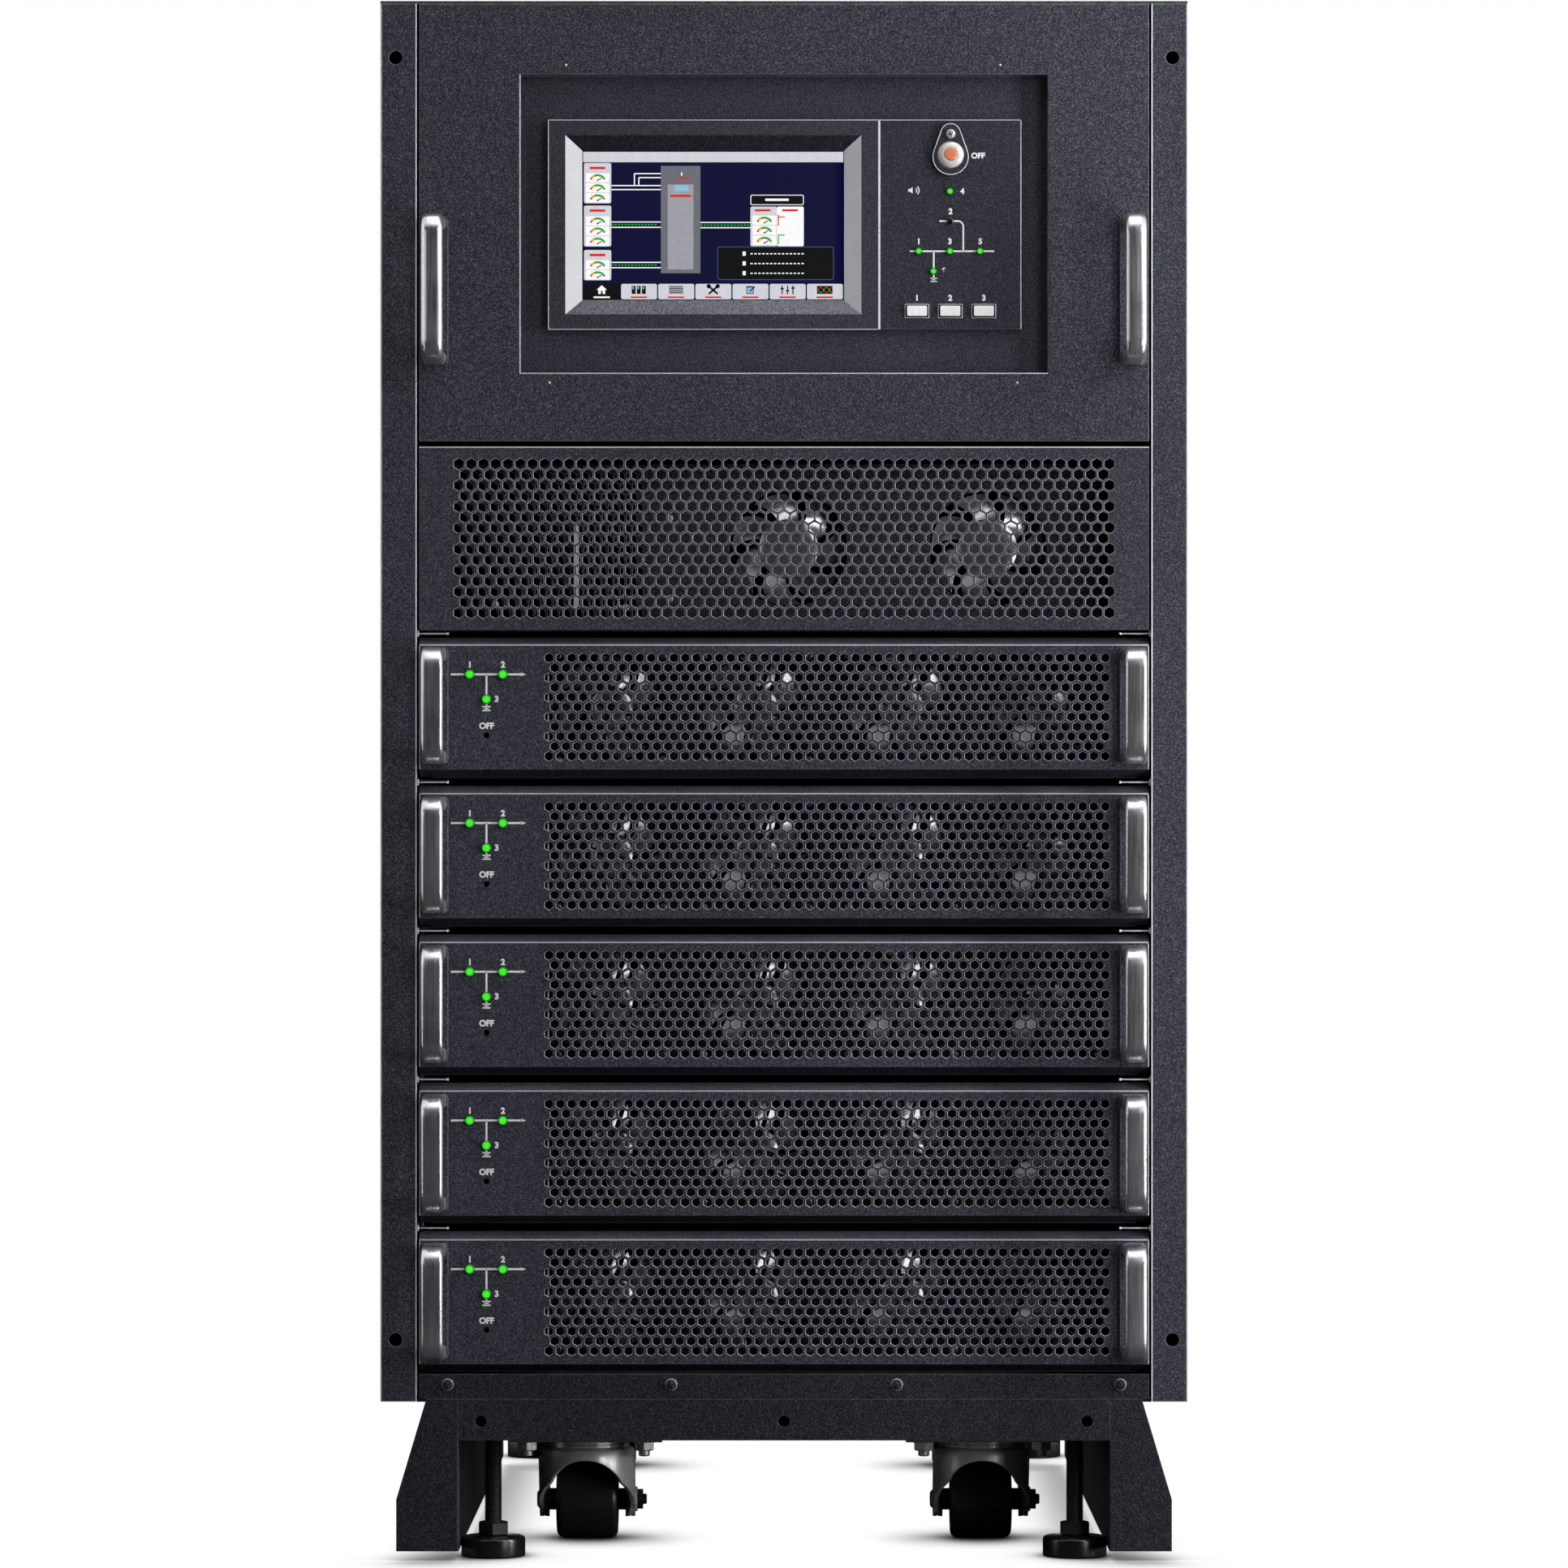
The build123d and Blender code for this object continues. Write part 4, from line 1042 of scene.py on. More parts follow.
# Handles
def handle(shape, x, bottom, height, corner):
    """A rounded bar bent twice, standing on a thin root plate."""
    y = front / MM
    inner = handle_thickness / 2
    radius = handle_bend - inner
    out = y - handle_reach + inner
    path = [Vector((x, y - root_thickness / 2, bottom + inner))]
    for step in range(bend_steps + 1):
        angle = quarter_turn * step / bend_steps
        path.append(Vector((x, out + radius - radius * math.sin(angle),
                            bottom + inner + radius - radius * math.cos(angle))))
    mirrored = [Vector((x, point.y, 2 * bottom + height - point.z)) for point in reversed(path)]
    section = rounded_box(handle_width, handle_thickness, corner, 5)
    shape.swept(path + mirrored, section, Vector((1, 0, 0)))
    root = rounded_box(root_width, height, root_corner)
    shape.prism(root, root_thickness, facing(x, y, bottom + height / 2), 1)


def handle_pair(name, body, node, corner):
    """Both handles of one panel."""
    low, high = node_box(node)
    shape = Shape()
    for side in (-1, 1):
        handle(shape, side * handle_x, low.z, high.z - low.z, corner)
    settle(shape.piece(name, [handle_metal, powder]), body, "handle_metal", node)


# Fans
def fan_blade(hub, tip, depth):
    """Points and faces of one forward-swept blade about the Y axis."""
    points = []
    root = hub * blade_root_share
    for side in (0, 1):
        for row in range(blade_spans + 1):
            u = row / blade_spans
            radius = root + (tip - root) * u
            lead = math.radians(blade_sweep) * u ** blade_lead_power
            chord = math.radians(blade_chord) * (1 - blade_taper_share * u)
            for column in range(blade_chords + 1):
                v = column / blade_chords
                angle = lead + chord * (v - 0.5)
                height = depth * (0.5 - v) * (1 - blade_flat_share * u)
                points.append(Vector((radius * math.cos(angle), height + side * blade_thickness,
                                      radius * math.sin(angle))))
    width = blade_chords + 1
    layer = (blade_spans + 1) * width
    faces = []
    for row in range(blade_spans):
        for column in range(blade_chords):
            a = row * width + column
            faces.append((a, a + 1, a + width + 1, a + width))
            faces.append((layer + a, layer + a + width, layer + a + width + 1, layer + a + 1))
    ring = list(range(width))
    ring += [row * width + blade_chords for row in range(1, blade_spans + 1)]
    ring += [blade_spans * width + column for column in range(blade_chords - 1, -1, -1)]
    ring += [row * width for row in range(blade_spans - 1, 0, -1)]
    for index, a in enumerate(ring):
        b = ring[(index + 1) % len(ring)]
        faces.append((a, layer + a, layer + b, b))
    return points, faces


def rotor(shape, x, y, z, hub, tip, depth, turn):
    """A hub with its blades, facing the front."""
    half = depth / 2
    profile = [(0, half), (hub * hub_face_share, half), (hub, half - hub_edge), (hub, -half), (0, -half)]
    shape.turned(profile, 40, facing(x, y, z))
    points, faces = fan_blade(hub, tip, depth * blade_depth_share)
    for index in range(blade_count):
        angle = full_turn * index / blade_count + turn
        place = Matrix.Translation((x, y, z)) @ Matrix.Rotation(angle, 4, "Y")
        shape.add([place @ point for point in points], faces)


def fan_housing(shape, x, y, z, side, bore, depth, hub):
    """A square housing with a round throat, corner screw bosses, struts and a motor plate."""
    steps = throat_steps
    half = side / 2
    angles = [full_turn * step / steps + quarter_turn / 2 for step in range(steps)]
    points = []
    for level, flare in ((0.0, throat_flare), (throat_lip, 0.0), (depth - throat_lip, 0.0),
                         (depth, throat_flare)):
        radius = bore + flare
        points += [(x + radius * math.cos(angle), y + level, z + radius * math.sin(angle))
                   for angle in angles]
    faces = []
    for level in range(3):
        for step in range(steps):
            after = (step + 1) % steps
            low = level * steps
            faces.append((low + step, low + after, low + steps + after, low + steps + step))
    base = len(points)
    for level in (0.0, depth):
        for angle in angles:
            reach = half / max(abs(math.cos(angle)), abs(math.sin(angle)))
            points.append((x + reach * math.cos(angle), y + level, z + reach * math.sin(angle)))
    for step in range(steps):
        after = (step + 1) % steps
        faces.append((step, base + step, base + after, after))
        faces.append((3 * steps + step, 3 * steps + after, base + steps + after, base + steps + step))
        faces.append((base + step, base + steps + step, base + steps + after, base + after))
    shape.add(points, faces, 0)
    ends = (hub * hub_face_share, bore)
    for index in range(4):
        turn = quarter_turn * index + strut_turn
        place = Matrix.Translation((x, y + depth, z)) @ Matrix.Rotation(turn, 4, "Y")
        corners = [place @ Vector((a, b, c))
                   for c in (-strut_half, strut_half) for b in (-strut_depth, 0) for a in ends]
        shape.add(corners, block_faces)
    plate = [(0, motor_plate_depth), (hub, motor_plate_depth), (hub, 0), (0, 0)]
    shape.turned(plate, 32, facing(x, y + depth, z))
    centre = half - boss_inset
    for sx in (-1, 1):
        for sz in (-1, 1):
            shape.turned(boss_profile, 16, facing(x + sx * centre, y, z + sz * centre), 1)


def header_fans():
    """Both header fans: housings with struts and screws, and a glossy rotor on each spinning body."""
    low, high = node_box("header_fan_frames")
    shape = Shape()
    for x in header_fan_x:
        fan_housing(shape, x, low.y, header_fan_z, header_housing, header_bore, header_housing_depth,
                    header_hub_radius)
    settle(shape.piece("header_fan_housings", [frame_plastic, zinc]), "cabinet", "fan_plastic",
           "header_fan_frames")
    for side, x in zip(("left", "right"), header_fan_x):
        node = "header_fan_rotor_" + side
        low, high = node_box(node)
        shape = Shape()
        rotor(shape, x, (low.y + high.y) / 2, header_fan_z, header_hub_radius, header_fan_radius,
              high.y - low.y, header_rotor_turn)
        settle(shape.piece("header_rotor_" + side, [fan_plastic]), "header_fan_" + side, "fan_plastic", node)


def module_fans(name):
    """The four fans of a module, with a near-white strip at their bracket that is a painted glint."""
    low, high = node_box(name + "_fan_rotors")
    face_low, face_high = node_box(name + "_front")
    y = front / MM
    # A near-white strip behind the sheet: a painted glint.
    bracket = Shape()
    bracket.box((bracket_x - bracket_half, y + bracket_near, face_low.z + bracket_inset),
                (bracket_x + bracket_half, y + bracket_far, face_high.z - bracket_inset))
    settle(bracket.piece(name + "_bracket_glint", [edge_glint_paint], smooth=False), name, "plated_steel")
    z = (low.z + high.z) / 2
    shape = Shape()
    housing = Shape()
    for x in module_fan_x:
        rotor(shape, x, low.y + module_rotor_inset, z, module_hub_radius, module_fan_radius,
              module_rotor_depth, module_rotor_turn)
        fan_housing(housing, x, low.y - module_housing_gap, z, module_housing, module_bore,
                    module_housing_depth, module_hub_radius * motor_plate_share)
    settle(shape.piece(name + "_rotors", [fan_plastic]), name, "fan_plastic", name + "_fan_rotors")
    settle(housing.piece(name + "_housings", [frame_plastic, zinc]), name, "fan_plastic")


# Marks, lamps and print
def words(shape, text, x, y, z, size, finish=0):
    """Printed characters centred on a point, facing the front."""
    curve = bpy.data.curves.new("print", "FONT")
    curve.body = text
    curve.size = size
    curve.align_x = "CENTER"
    curve.align_y = "CENTER"
    curve.extrude = print_extrude
    curve.offset = size * print_weight
    carrier = bpy.data.objects.new("print", curve)
    bpy.context.scene.collection.objects.link(carrier)
    bpy.context.view_layer.update()
    mesh = bpy.data.meshes.new_from_object(carrier.evaluated_get(bpy.context.evaluated_depsgraph_get()))
    place = facing(x, y, z)
    faces = [list(face.vertices) for face in mesh.polygons]
    shape.add([place @ vert.co for vert in mesh.vertices], faces, finish)
    bpy.data.objects.remove(carrier)
    bpy.data.meshes.remove(mesh)
    bpy.data.curves.remove(curve)


def line(shape, start, end, width, y, finish=0, lift=print_lift):
    """A printed line between two points of the front."""
    a = Vector((start[0], 0, start[1]))
    b = Vector((end[0], 0, end[1]))
    run = (b - a).normalized() * width / 2
    side = Vector((run.z, 0, -run.x))
    flat = [a - side, b - side, b + side, a + side]
    points = [Vector((p.x, y, p.z)) for p in flat] + [Vector((p.x, y - lift, p.z)) for p in flat]
    shape.add(points, slab_faces, finish)


def lamp(shape, x, y, z, radius, collar, lit=True):
    """A small round lamp sunk in the sheet: a thin ring, a dome, its bright core and a dark collar."""
    place = facing(x, y - lamp_sink, z)
    body, core = (1, 2) if lit else (3, 3)
    shape.turned([(radius + out, rise) for out, rise in lamp_ring], 28, place, 0)
    arc = [(radius * math.cos(angle), lamp_dome_base + radius * lamp_dome_share * math.sin(angle))
           for angle in [quarter_turn * step / 6 for step in range(7)]]
    shape.turned([(radius, 0)] + arc[:4], 28, place, body)
    shape.turned(arc[3:6] + [(0, arc[6][1])], 28, place, core)
    shape.turned([(collar, -lamp_sink), (collar, collar_rise), (0, collar_rise)], 24, place)


def bars(shape, x, z, widths, pitch, weight, y):
    """The printed battery sign: short bars below each other."""
    for step, width in enumerate(widths):
        height = z - step * pitch
        line(shape, (x - width / 2, height), (x + width / 2, height), weight, y)


def arrow(shape, x, y, z, size, turn, finish=0):
    """A small printed arrowhead."""
    back = -size * arrow_back_share
    outline = [(size, 0), (back, size * arrow_half_share), (back, -size * arrow_half_share)]
    place = facing(x, y, z) @ Matrix.Rotation(turn, 4, "Z")
    shape.prism(outline, print_lift, place, finish)


def module_marks(name, bottom):
    """Lamps, flow line, numbers and battery sign on the left of a module."""
    y = front / MM
    shape = Shape()
    row = bottom + flow_rise
    battery = bottom + battery_rise
    line(shape, (flow_left, row), (flow_right, row), flow_weight, y)
    arrow(shape, flow_arrow_x, y, row, flow_arrow_size, 0)
    line(shape, (battery_x, row), (battery_x, battery + battery_gap), trunk_weight, y)
    line(shape, (battery_x, battery - battery_gap), (battery_x, battery - battery_drop), trunk_weight, y)
    bars(shape, battery_x, battery - battery_bar_drop, battery_bars, battery_bar_pitch, battery_bar_weight, y)
    for label, x, z in (("1", rectifier_x, row + number_rise), ("2", inverter_x, row + number_rise),
                        ("3", battery_number_x, battery), ("OFF", off_x, bottom + off_rise)):
        words(shape, label, x, y, z, module_print_size)
    settle(shape.piece(name + "_print", [white_print], smooth=False), name, "key_white")
    lamps = Shape()
    for x, z in ((rectifier_x, row), (inverter_x, row), (battery_x, battery)):
        lamp(lamps, x, y, z, module_lamp_radius, module_lamp_collar)
    settle(lamps.piece(name + "_lamps", [guard_black, lamp_green, lamp_core]), name, "key_white")


def control_marks():
    """Flow lines, signs and numbers of the control plate, with its lamps."""
    y = front / MM + plate_depth
    shape = Shape()
    line(shape, (plate_flow_left, plate_row), (plate_flow_right, plate_row), plate_weight, y)
    before = (bypass_bend_x, bypass_row)
    line(shape, (bypass_left, bypass_row), before, plate_weight, y)
    steps = 6
    for step in range(1, steps + 1):
        angle = quarter_turn * step / steps
        point = (bypass_bend_x + bypass_bend * math.sin(angle),
                 bypass_row - bypass_bend + bypass_bend * math.cos(angle))
        line(shape, before, point, plate_weight, y)
        before = point
    line(shape, before, (bypass_bend_x + bypass_bend, plate_row), plate_weight, y)
    line(shape, (plate_battery_x, plate_row), (plate_battery_x, plate_battery_top), plate_weight, y)
    line(shape, (plate_battery_x, plate_battery_low), (plate_battery_x, plate_battery_end), plate_weight, y)
    bars(shape, plate_battery_x, plate_bar_top, plate_bars, plate_bar_pitch, plate_bar_weight, y)
    for label, x, z in plate_numbers:
        words(shape, label, x, y, z, plate_print_size)
    shape.prism(horn_outline, print_lift, facing(horn_x, y, horn_z))
    for radius in wave_radii:
        angles = [math.radians(wave_half_angle * (2 * step / wave_steps - 1))
                  for step in range(wave_steps + 1)]
        points = [(wave_x + radius * math.cos(angle), horn_z + radius * math.sin(angle)) for angle in angles]
        for a, b in zip(points, points[1:]):
            line(shape, a, b, wave_weight, y)
    settle(shape.piece("control_print", [white_print], smooth=False), "cabinet", "key_white")
    lamps = Shape()
    for x, z, lit in lamp_points:
        lamp(lamps, x, y, z, plate_lamp_radius, plate_lamp_collar, lit)
    finishes = [guard_black, lamp_green, lamp_core, lamp_dark]
    settle(lamps.piece("control_lamps", finishes), "cabinet", "key_white")
    # The buzzer holes are near-black discs: painted shade.
    holes = Shape()
    profile = [(buzzer_radius, 0.0), (buzzer_radius, buzzer_lift), (0, buzzer_lift)]
    for dx, dz in ((0, buzzer_reach), (0, -buzzer_reach), (buzzer_reach, 0), (-buzzer_reach, 0)):
        holes.turned(profile, 16, facing(buzzer_x + dx, y, buzzer_z + dz))
    settle(holes.piece("buzzer_holes", [hollow_shade_black]), "cabinet", "panel_dark")


def key_rims():
    """A painted highlight line round each push key's slot."""
    y = front / MM + plate_depth
    shape = Shape()
    half_width = key_rim_width / 2
    half_height = key_rim_height / 2
    for x in key_places:
        for sign in (-1, 1):
            z = key_row + sign * half_height
            edge = x + sign * half_width
            for start, end in (((x - half_width, z), (x + half_width, z)),
                               ((edge, key_row - half_height), (edge, key_row + half_height))):
                line(shape, start, end, key_rim_weight, y, 0, key_rim_lift)
    settle(shape.piece("key_rims", [edge_highlight_paint], smooth=False), "cabinet", "panel_dark")


def guard_outline():
    """The painted highlight along the edge of the guard round the emergency button: a circle drawn up to a
    smaller one.
    """
    low, high = node_box("epo_guard")
    main = (high.x - low.x) / 2
    lobe = main * guard_lobe_share
    main_z = low.z + main
    lobe_z = high.z - lobe
    lean = math.asin((main - lobe) / (lobe_z - main_z))
    steps = 20
    points = []
    for centre_z, radius, start, end in ((main_z, main, half_turn - lean, full_turn + lean),
                                         (lobe_z, lobe, lean, half_turn - lean)):
        for step in range(steps + 1):
            angle = start + (end - start) * step / steps
            points.append((epo_x + radius * math.cos(angle), centre_z + radius * math.sin(angle)))
    shape = Shape()
    for start, end in zip(points, points[1:] + points[:1]):
        line(shape, start, end, guard_line, low.y, 0, guard_line_lift)
    settle(shape.piece("guard_highlight", [edge_glint_paint], smooth=False), "cabinet", "plated_steel")


def key_caps():
    """A white cap with nearly square corners on each push key, and its stem."""
    for label in ("inverter", "bypass", "mute"):
        node = label + "_key"
        low, high = node_box(node)
        width = high.x - low.x
        height = high.z - low.z
        x = (low.x + high.x) / 2
        z = (low.z + high.z) / 2
        share = key_stem_share
        shape = Shape()
        cap = rounded_box(width, height, key_corner)
        shape.prism(cap, key_cap_depth, facing(x, low.y + key_cap_depth, z))
        shape.prism(rounded_box(width * share, height * share, key_corner), high.y - low.y - key_cap_depth,
                    facing(x, high.y, z))
        settle(shape.piece(node + "_cap", [key_white]), label + "_button", "key_white", node)


def emergency_button():
    """A glossy white dome with an orange core, and the guard's screw."""
    low, high = node_box("epo_button")
    height = dome_height
    plate_y = low.y + height
    shape = Shape()
    place = facing(epo_x, plate_y, epo_z)
    rim = [(dome_radius, plate_y - high.y), (dome_radius, dome_rim)]
    crown = [(core_radius + (dome_radius - core_radius) * math.cos(angle),
              dome_rim + (height - dome_shoulder) * math.sin(angle))
             for angle in [quarter_turn * step / 8 for step in range(1, 9)]]
    top = [(core_radius, height - core_sink), (0, height - core_sink)]
    shape.turned(rim + crown + top, 48, place, 0)
    disc = [(core_radius + across_step, height + rise) for across_step, rise in core_profile] + [(0, height)]
    shape.turned(disc, 36, place, 1)
    settle(shape.piece("emergency_dome", [dome_white, dome_orange]), "emergency_button", "button_white",
           "epo_button")
    shape = Shape()
    y = front / MM + plate_depth - guard_screw_sink
    screw(shape, epo_x, y, epo_z + guard_screw_rise, guard_screw_radius)
    settle(shape.piece("guard_screw", [bright_metal, hollow_shade_black]), "cabinet", "plated_steel")


def screw(shape, x, y, z, radius):
    """A pan-head screw facing the front, its cross recess drawn as near-black bars: painted shade."""
    place = facing(x, y, z)
    shape.turned([(radius * a, radius * b) for a, b in head_shares], 24, place, 0)
    length = radius * slot_length_share
    half = radius * slot_half_share
    bar = frame_corners(-length, length, -half, half)
    for turn in (slot_turn, slot_turn + quarter_turn):
        raised = place @ Matrix.Rotation(turn, 4, "Z") @ Matrix.Translation((0, 0, radius * slot_rise_share))
        shape.prism(bar, radius * slot_depth_share, raised, 1)


def rear_screws():
    """Screws along both edges of the rear panel."""
    low, high = node_box("rear_panel")
    shape = Shape()
    turned_back = Matrix.Rotation(half_turn, 4, "Z")
    start = low.z + rear_screw_inset * 2
    run = high.z - low.z - rear_screw_inset * 4
    for side in (low.x + rear_screw_inset, high.x - rear_screw_inset):
        for step in range(rear_screw_count):
            first = len(shape.points)
            screw(shape, -side, -high.y, start + run * step / (rear_screw_count - 1), rear_screw_radius)
            shape.points[first:] = [turned_back @ point for point in shape.points[first:]]
    settle(shape.piece("rear_screws", [dark_steel, hollow_shade_black]), "cabinet", "plated_steel")


def front_screws():
    """Cross rail screws and the small pins of the header panel."""
    shape = Shape()
    y = front / MM
    collar = [(rail_screw_radius, 0), (rail_screw_radius, rail_collar_rise), (rail_collar, rail_collar_rise),
              (rail_collar, 0)]
    for x in rail_screw_x:
        screw(shape, x, y, rail_screw_z, rail_screw_radius)
        # A painted highlight ring round each head.
        shape.turned(collar, 28, facing(x, y, rail_screw_z), 2)
    settle(shape.piece("rail_screws", [painted_shade_powder, hollow_shade_black, edge_highlight_paint]), "cabinet", "plated_steel")
    shape = Shape()
    for x, z in header_pins:
        shape.turned(pin_profile, 16, facing(x, y, z))
    settle(shape.piece("header_pins", [bright_metal]), "cabinet", "plated_steel")


# Bevels of the display with painted light and shade, and painted highlights on the edges of the display and
# of the sheets
def bezel_bevels():
    """The slopes round the screen in lit and shaded copies of one coat: a painted highlight on the left,
    painted side light on the right, painted light below and painted shade on top.
    """
    low, high = node_box("display_bezel")
    near = low.y - edge_stand
    far = near + bevel_depth
    outer = frame_corners(low.x + bevel_lip, high.x - bevel_lip, low.z + bevel_rim, high.z - bevel_rim)
    inner = frame_corners(screen_left - bevel_gap, screen_right + bevel_gap, screen_bottom - bevel_gap,
                          screen_top + bevel_gap)
    shape = Shape()
    for side in range(4):
        after = (side + 1) % 4
        ring = [(*outer[side], near), (*outer[after], near), (*inner[after], far), (*inner[side], far)]
        points = [(x, y + step, z) for step in (0, bevel_skin) for x, z, y in ring]
        shape.add(points, slab_faces, side)
    finishes = [bevel_lower_light_paint, bevel_side_light_paint, bevel_shade_paint, silver_highlight_paint]
    settle(shape.piece("bezel_bevels", finishes, smooth=False), "cabinet", "powder_coat")


def edge_highlights():
    """Narrow painted highlights on the edges of the folded sheets, the display plates and the window."""
    y = front / MM
    low, high = node_box("side_panel_right")
    shape = Shape()
    for side in (-1, 1):
        inner = side * (low.x + edge_width / 2)
        outer = side * (high.x - edge_width / 2)
        painted_highlight_line(shape, (inner, low.z), (inner, high.z), y, 1, column_edge)
        painted_highlight_line(shape, (outer, low.z), (outer, high.z), y, 0)
    low, high = node_box("header_recess_pan")
    window = frame_corners(low.x + window_lip, high.x - window_lip, low.z + window_lip, high.z - window_lip)
    painted_highlight_line(shape, window[0], window[3], y, 1, thin_edge)
    painted_highlight_line(shape, window[0], window[1], y, 1, thin_edge)
    low, high = node_box("display_bezel")
    panel_low, panel_high = node_box("control_panel")
    for start, end in (((low.x, high.z), (panel_high.x, high.z)), ((low.x, low.z), (low.x, high.z)),
                       ((low.x, low.z), (high.x, low.z)), ((panel_high.x, low.z), (panel_high.x, high.z))):
        painted_highlight_line(shape, start, end, low.y, 0, thin_edge)
    seam = (high.x + panel_low.x) / 2
    painted_highlight_line(shape, (seam, low.z), (seam, high.z), low.y, 1, panel_low.x - high.x)
    settle(shape.piece("edge_highlights", [edge_highlight_paint, edge_glint_paint], smooth=False), "cabinet", "powder_coat")


def ledge_highlights():
    """Painted highlights on the edges of the rails' ledges, seen in the gaps between the modules."""
    shape = Shape()
    reach = node_box("guide_rails")[1].x
    y = front / MM + ledge_depth
    end_y = front / MM + ledge_end_depth
    for name in module_names:
        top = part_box(name + "_front")[1].z / MM + ledge_rise
        for side in (-1, 1):
            inner = side * (reach - ledge_reach)
            painted_highlight_line(shape, (inner, top), (side * reach, top), y, 0, ledge_weight)
            for x, half, weight in ((inner, ledge_end_half, ledge_end_weight),
                                    (side * (reach - ledge_side_inset), ledge_side_half, ledge_weight)):
                painted_highlight_line(shape, (x, top - half), (x, top + half), end_y, 1, weight)
    settle(shape.piece("ledge_highlights", [edge_highlight_paint, edge_glint_paint], smooth=False), "cabinet", "plated_steel")


# Screen picture: places are shares of the screen's width and height from its lower left corner, and a card's
# values are left, bottom, right, top, tone, level and corner radius
gauge_width_share = 0.091
gauge_height_share = 0.062
gauge_pitch_share = 0.068
rail_rise_share = 0.018
link_dash_share = 0.0128
meter_right_share = 0.108
cabinet_left_share = 0.2986
cabinet_right_share = 0.4507
ground_shares = ((-0.02, -0.02, 1.02, 1.02, "navy", 0.5), (0.0, 0.93, 1.0, 1.0, "pale"))
meter_shares = ((0.652, 0.925, 3), (0.36, 0.637, 3), (0.132, 0.337, 2))
bypass_low_shares = (0.772, 0.745)
bypass_high_shares = ((0.853, 0.197), (0.826, 0.214))
link_shares = ((meter_right_share, cabinet_left_share, 0.508), (meter_right_share, cabinet_left_share, 0.235),
               (cabinet_right_share, 0.645, 0.505))
cabinet_card_shares = (
    (cabinet_left_share, 0.18, cabinet_right_share, 0.905, "grey", 2),
    (0.325, 0.205, 0.424, 0.78, "steel", 3),
    (0.332, 0.78, 0.418, 0.888, "grey", 3),
    (0.352, 0.735, 0.404, 0.775, "blue", 4),
    (0.376, 0.838, 0.381, 0.86, "white", 4),
)
output_card_shares = (
    (0.334, 0.695, 0.414, 0.71, "red", 4),
    (0.643, 0.64, 0.848, 0.71, "white", 1, 1.2),
    (0.646, 0.645, 0.845, 0.705, "black", 2, 1.0),
    (0.70, 0.668, 0.79, 0.684, "white", 3),
    (0.643, 0.362, 0.745, 0.63, "pale", 1, 1.0),
    (0.745, 0.362, 0.848, 0.63, "white", 1, 1.0),
    (0.66, 0.598, 0.72, 0.612, "red", 2),
    (0.765, 0.598, 0.825, 0.612, "red", 2),
)
bar_shares = (((0.7505, 0.575), (0.7505, 0.50), "red", 0.8), ((0.7505, 0.44), (0.7505, 0.375), "green", 0.8),
              ((0.7505, 0.56), (0.775, 0.56), "red", 0.7), ((0.7505, 0.438), (0.775, 0.438), "green", 0.7))
notice_shares = ((0.516, 0.134, 0.963, 0.36, "frame", 1, 1.6),
                 (0.5185, 0.139, 0.9605, 0.355, "black", 2, 1.4))
meter_left_share = 0.003
meter_corner = 1.2
title_left_share = 0.025
title_right_share = 0.085
title_bottom_share = 0.042
title_top_share = 0.026
meter_gauge_share = 0.01
gauge_gap_share = 0.006
output_gauge_shares = (0.651, 0.371)
status_shares = ((0.362, 0.82), (0.412, 0.82))
status_head_shares = (0.366, 0.82)
status_weight = 0.8
status_head_size = 0.9
rail_weight = 0.7
dash_weight = 0.9
dash_share = 0.6
notice_rows = 3
notice_low_share = 0.178
notice_pitch_share = 0.066
notice_mark_shares = (0.613, 0.012, 0.625, 0.016)
notice_dashes = 14
notice_start_share = 0.643
notice_step_share = 0.0151
notice_dash_shares = (0.009, 0.003, 0.005)
tab_shares = (0.003, 0.004, 0.002, 0.108)
tab_corner = 1.1
tab_line_shares = (0.28, 0.012, 0.72, 0.023)
tab_sign_share = 0.066
gauge_corner = 0.7
gauge_foot_share = 0.22
gauge_radius_share = 0.56
gauge_stretch = 1.35
gauge_steps = 9
gauge_start = 170
gauge_step = 17.8
needle_across_share = 0.8
needle_rise_share = 0.45
needle_hub_radius = 0.6

# Signs of the tabs, in millimetres about each tab's centre
door_half = 0.6
bar_pitch = 3.4
bar_width = 2.6
bar_face = (0.5, 1.4, 0.6, 2.2)
row_half = 4.6
row_low = -2.0
row_pitch = 1.4
row_weight = 0.45
tool_reach = 3.0
tool_weight = 1.3
tool_head_radius = 1.5
page_left = -2.7
page_right = 2.2
page_face = (-2.2, 1.7, -2.1, 1.7)
pen_start = (-0.6, -1.0)
pen_end = (3.0, 2.2)
pen_weight = 0.8
slider_pitch = 3.6
slider_rises = (0.9, -0.4, 1.3)
slider_low = -2.8
slider_high = 3.0
slider_weight = 0.8
knob_half = 1.1
knob_rise = 0.5
trace_board = 5.2
trace_half = 4.6
trace_count = 11
trace_step = 0.92
trace_height = 1.9
trace_turn = 0.75
trace_weight = 0.5
house_outline = ((-3.4, 0.2), (-2.3, 0.2), (-2.3, -2.6), (2.3, -2.6), (2.3, 0.2), (3.4, 0.2), (0, 3.2))
sign_half = 2.6
sign_top = 2.8
sign_width = 4.8


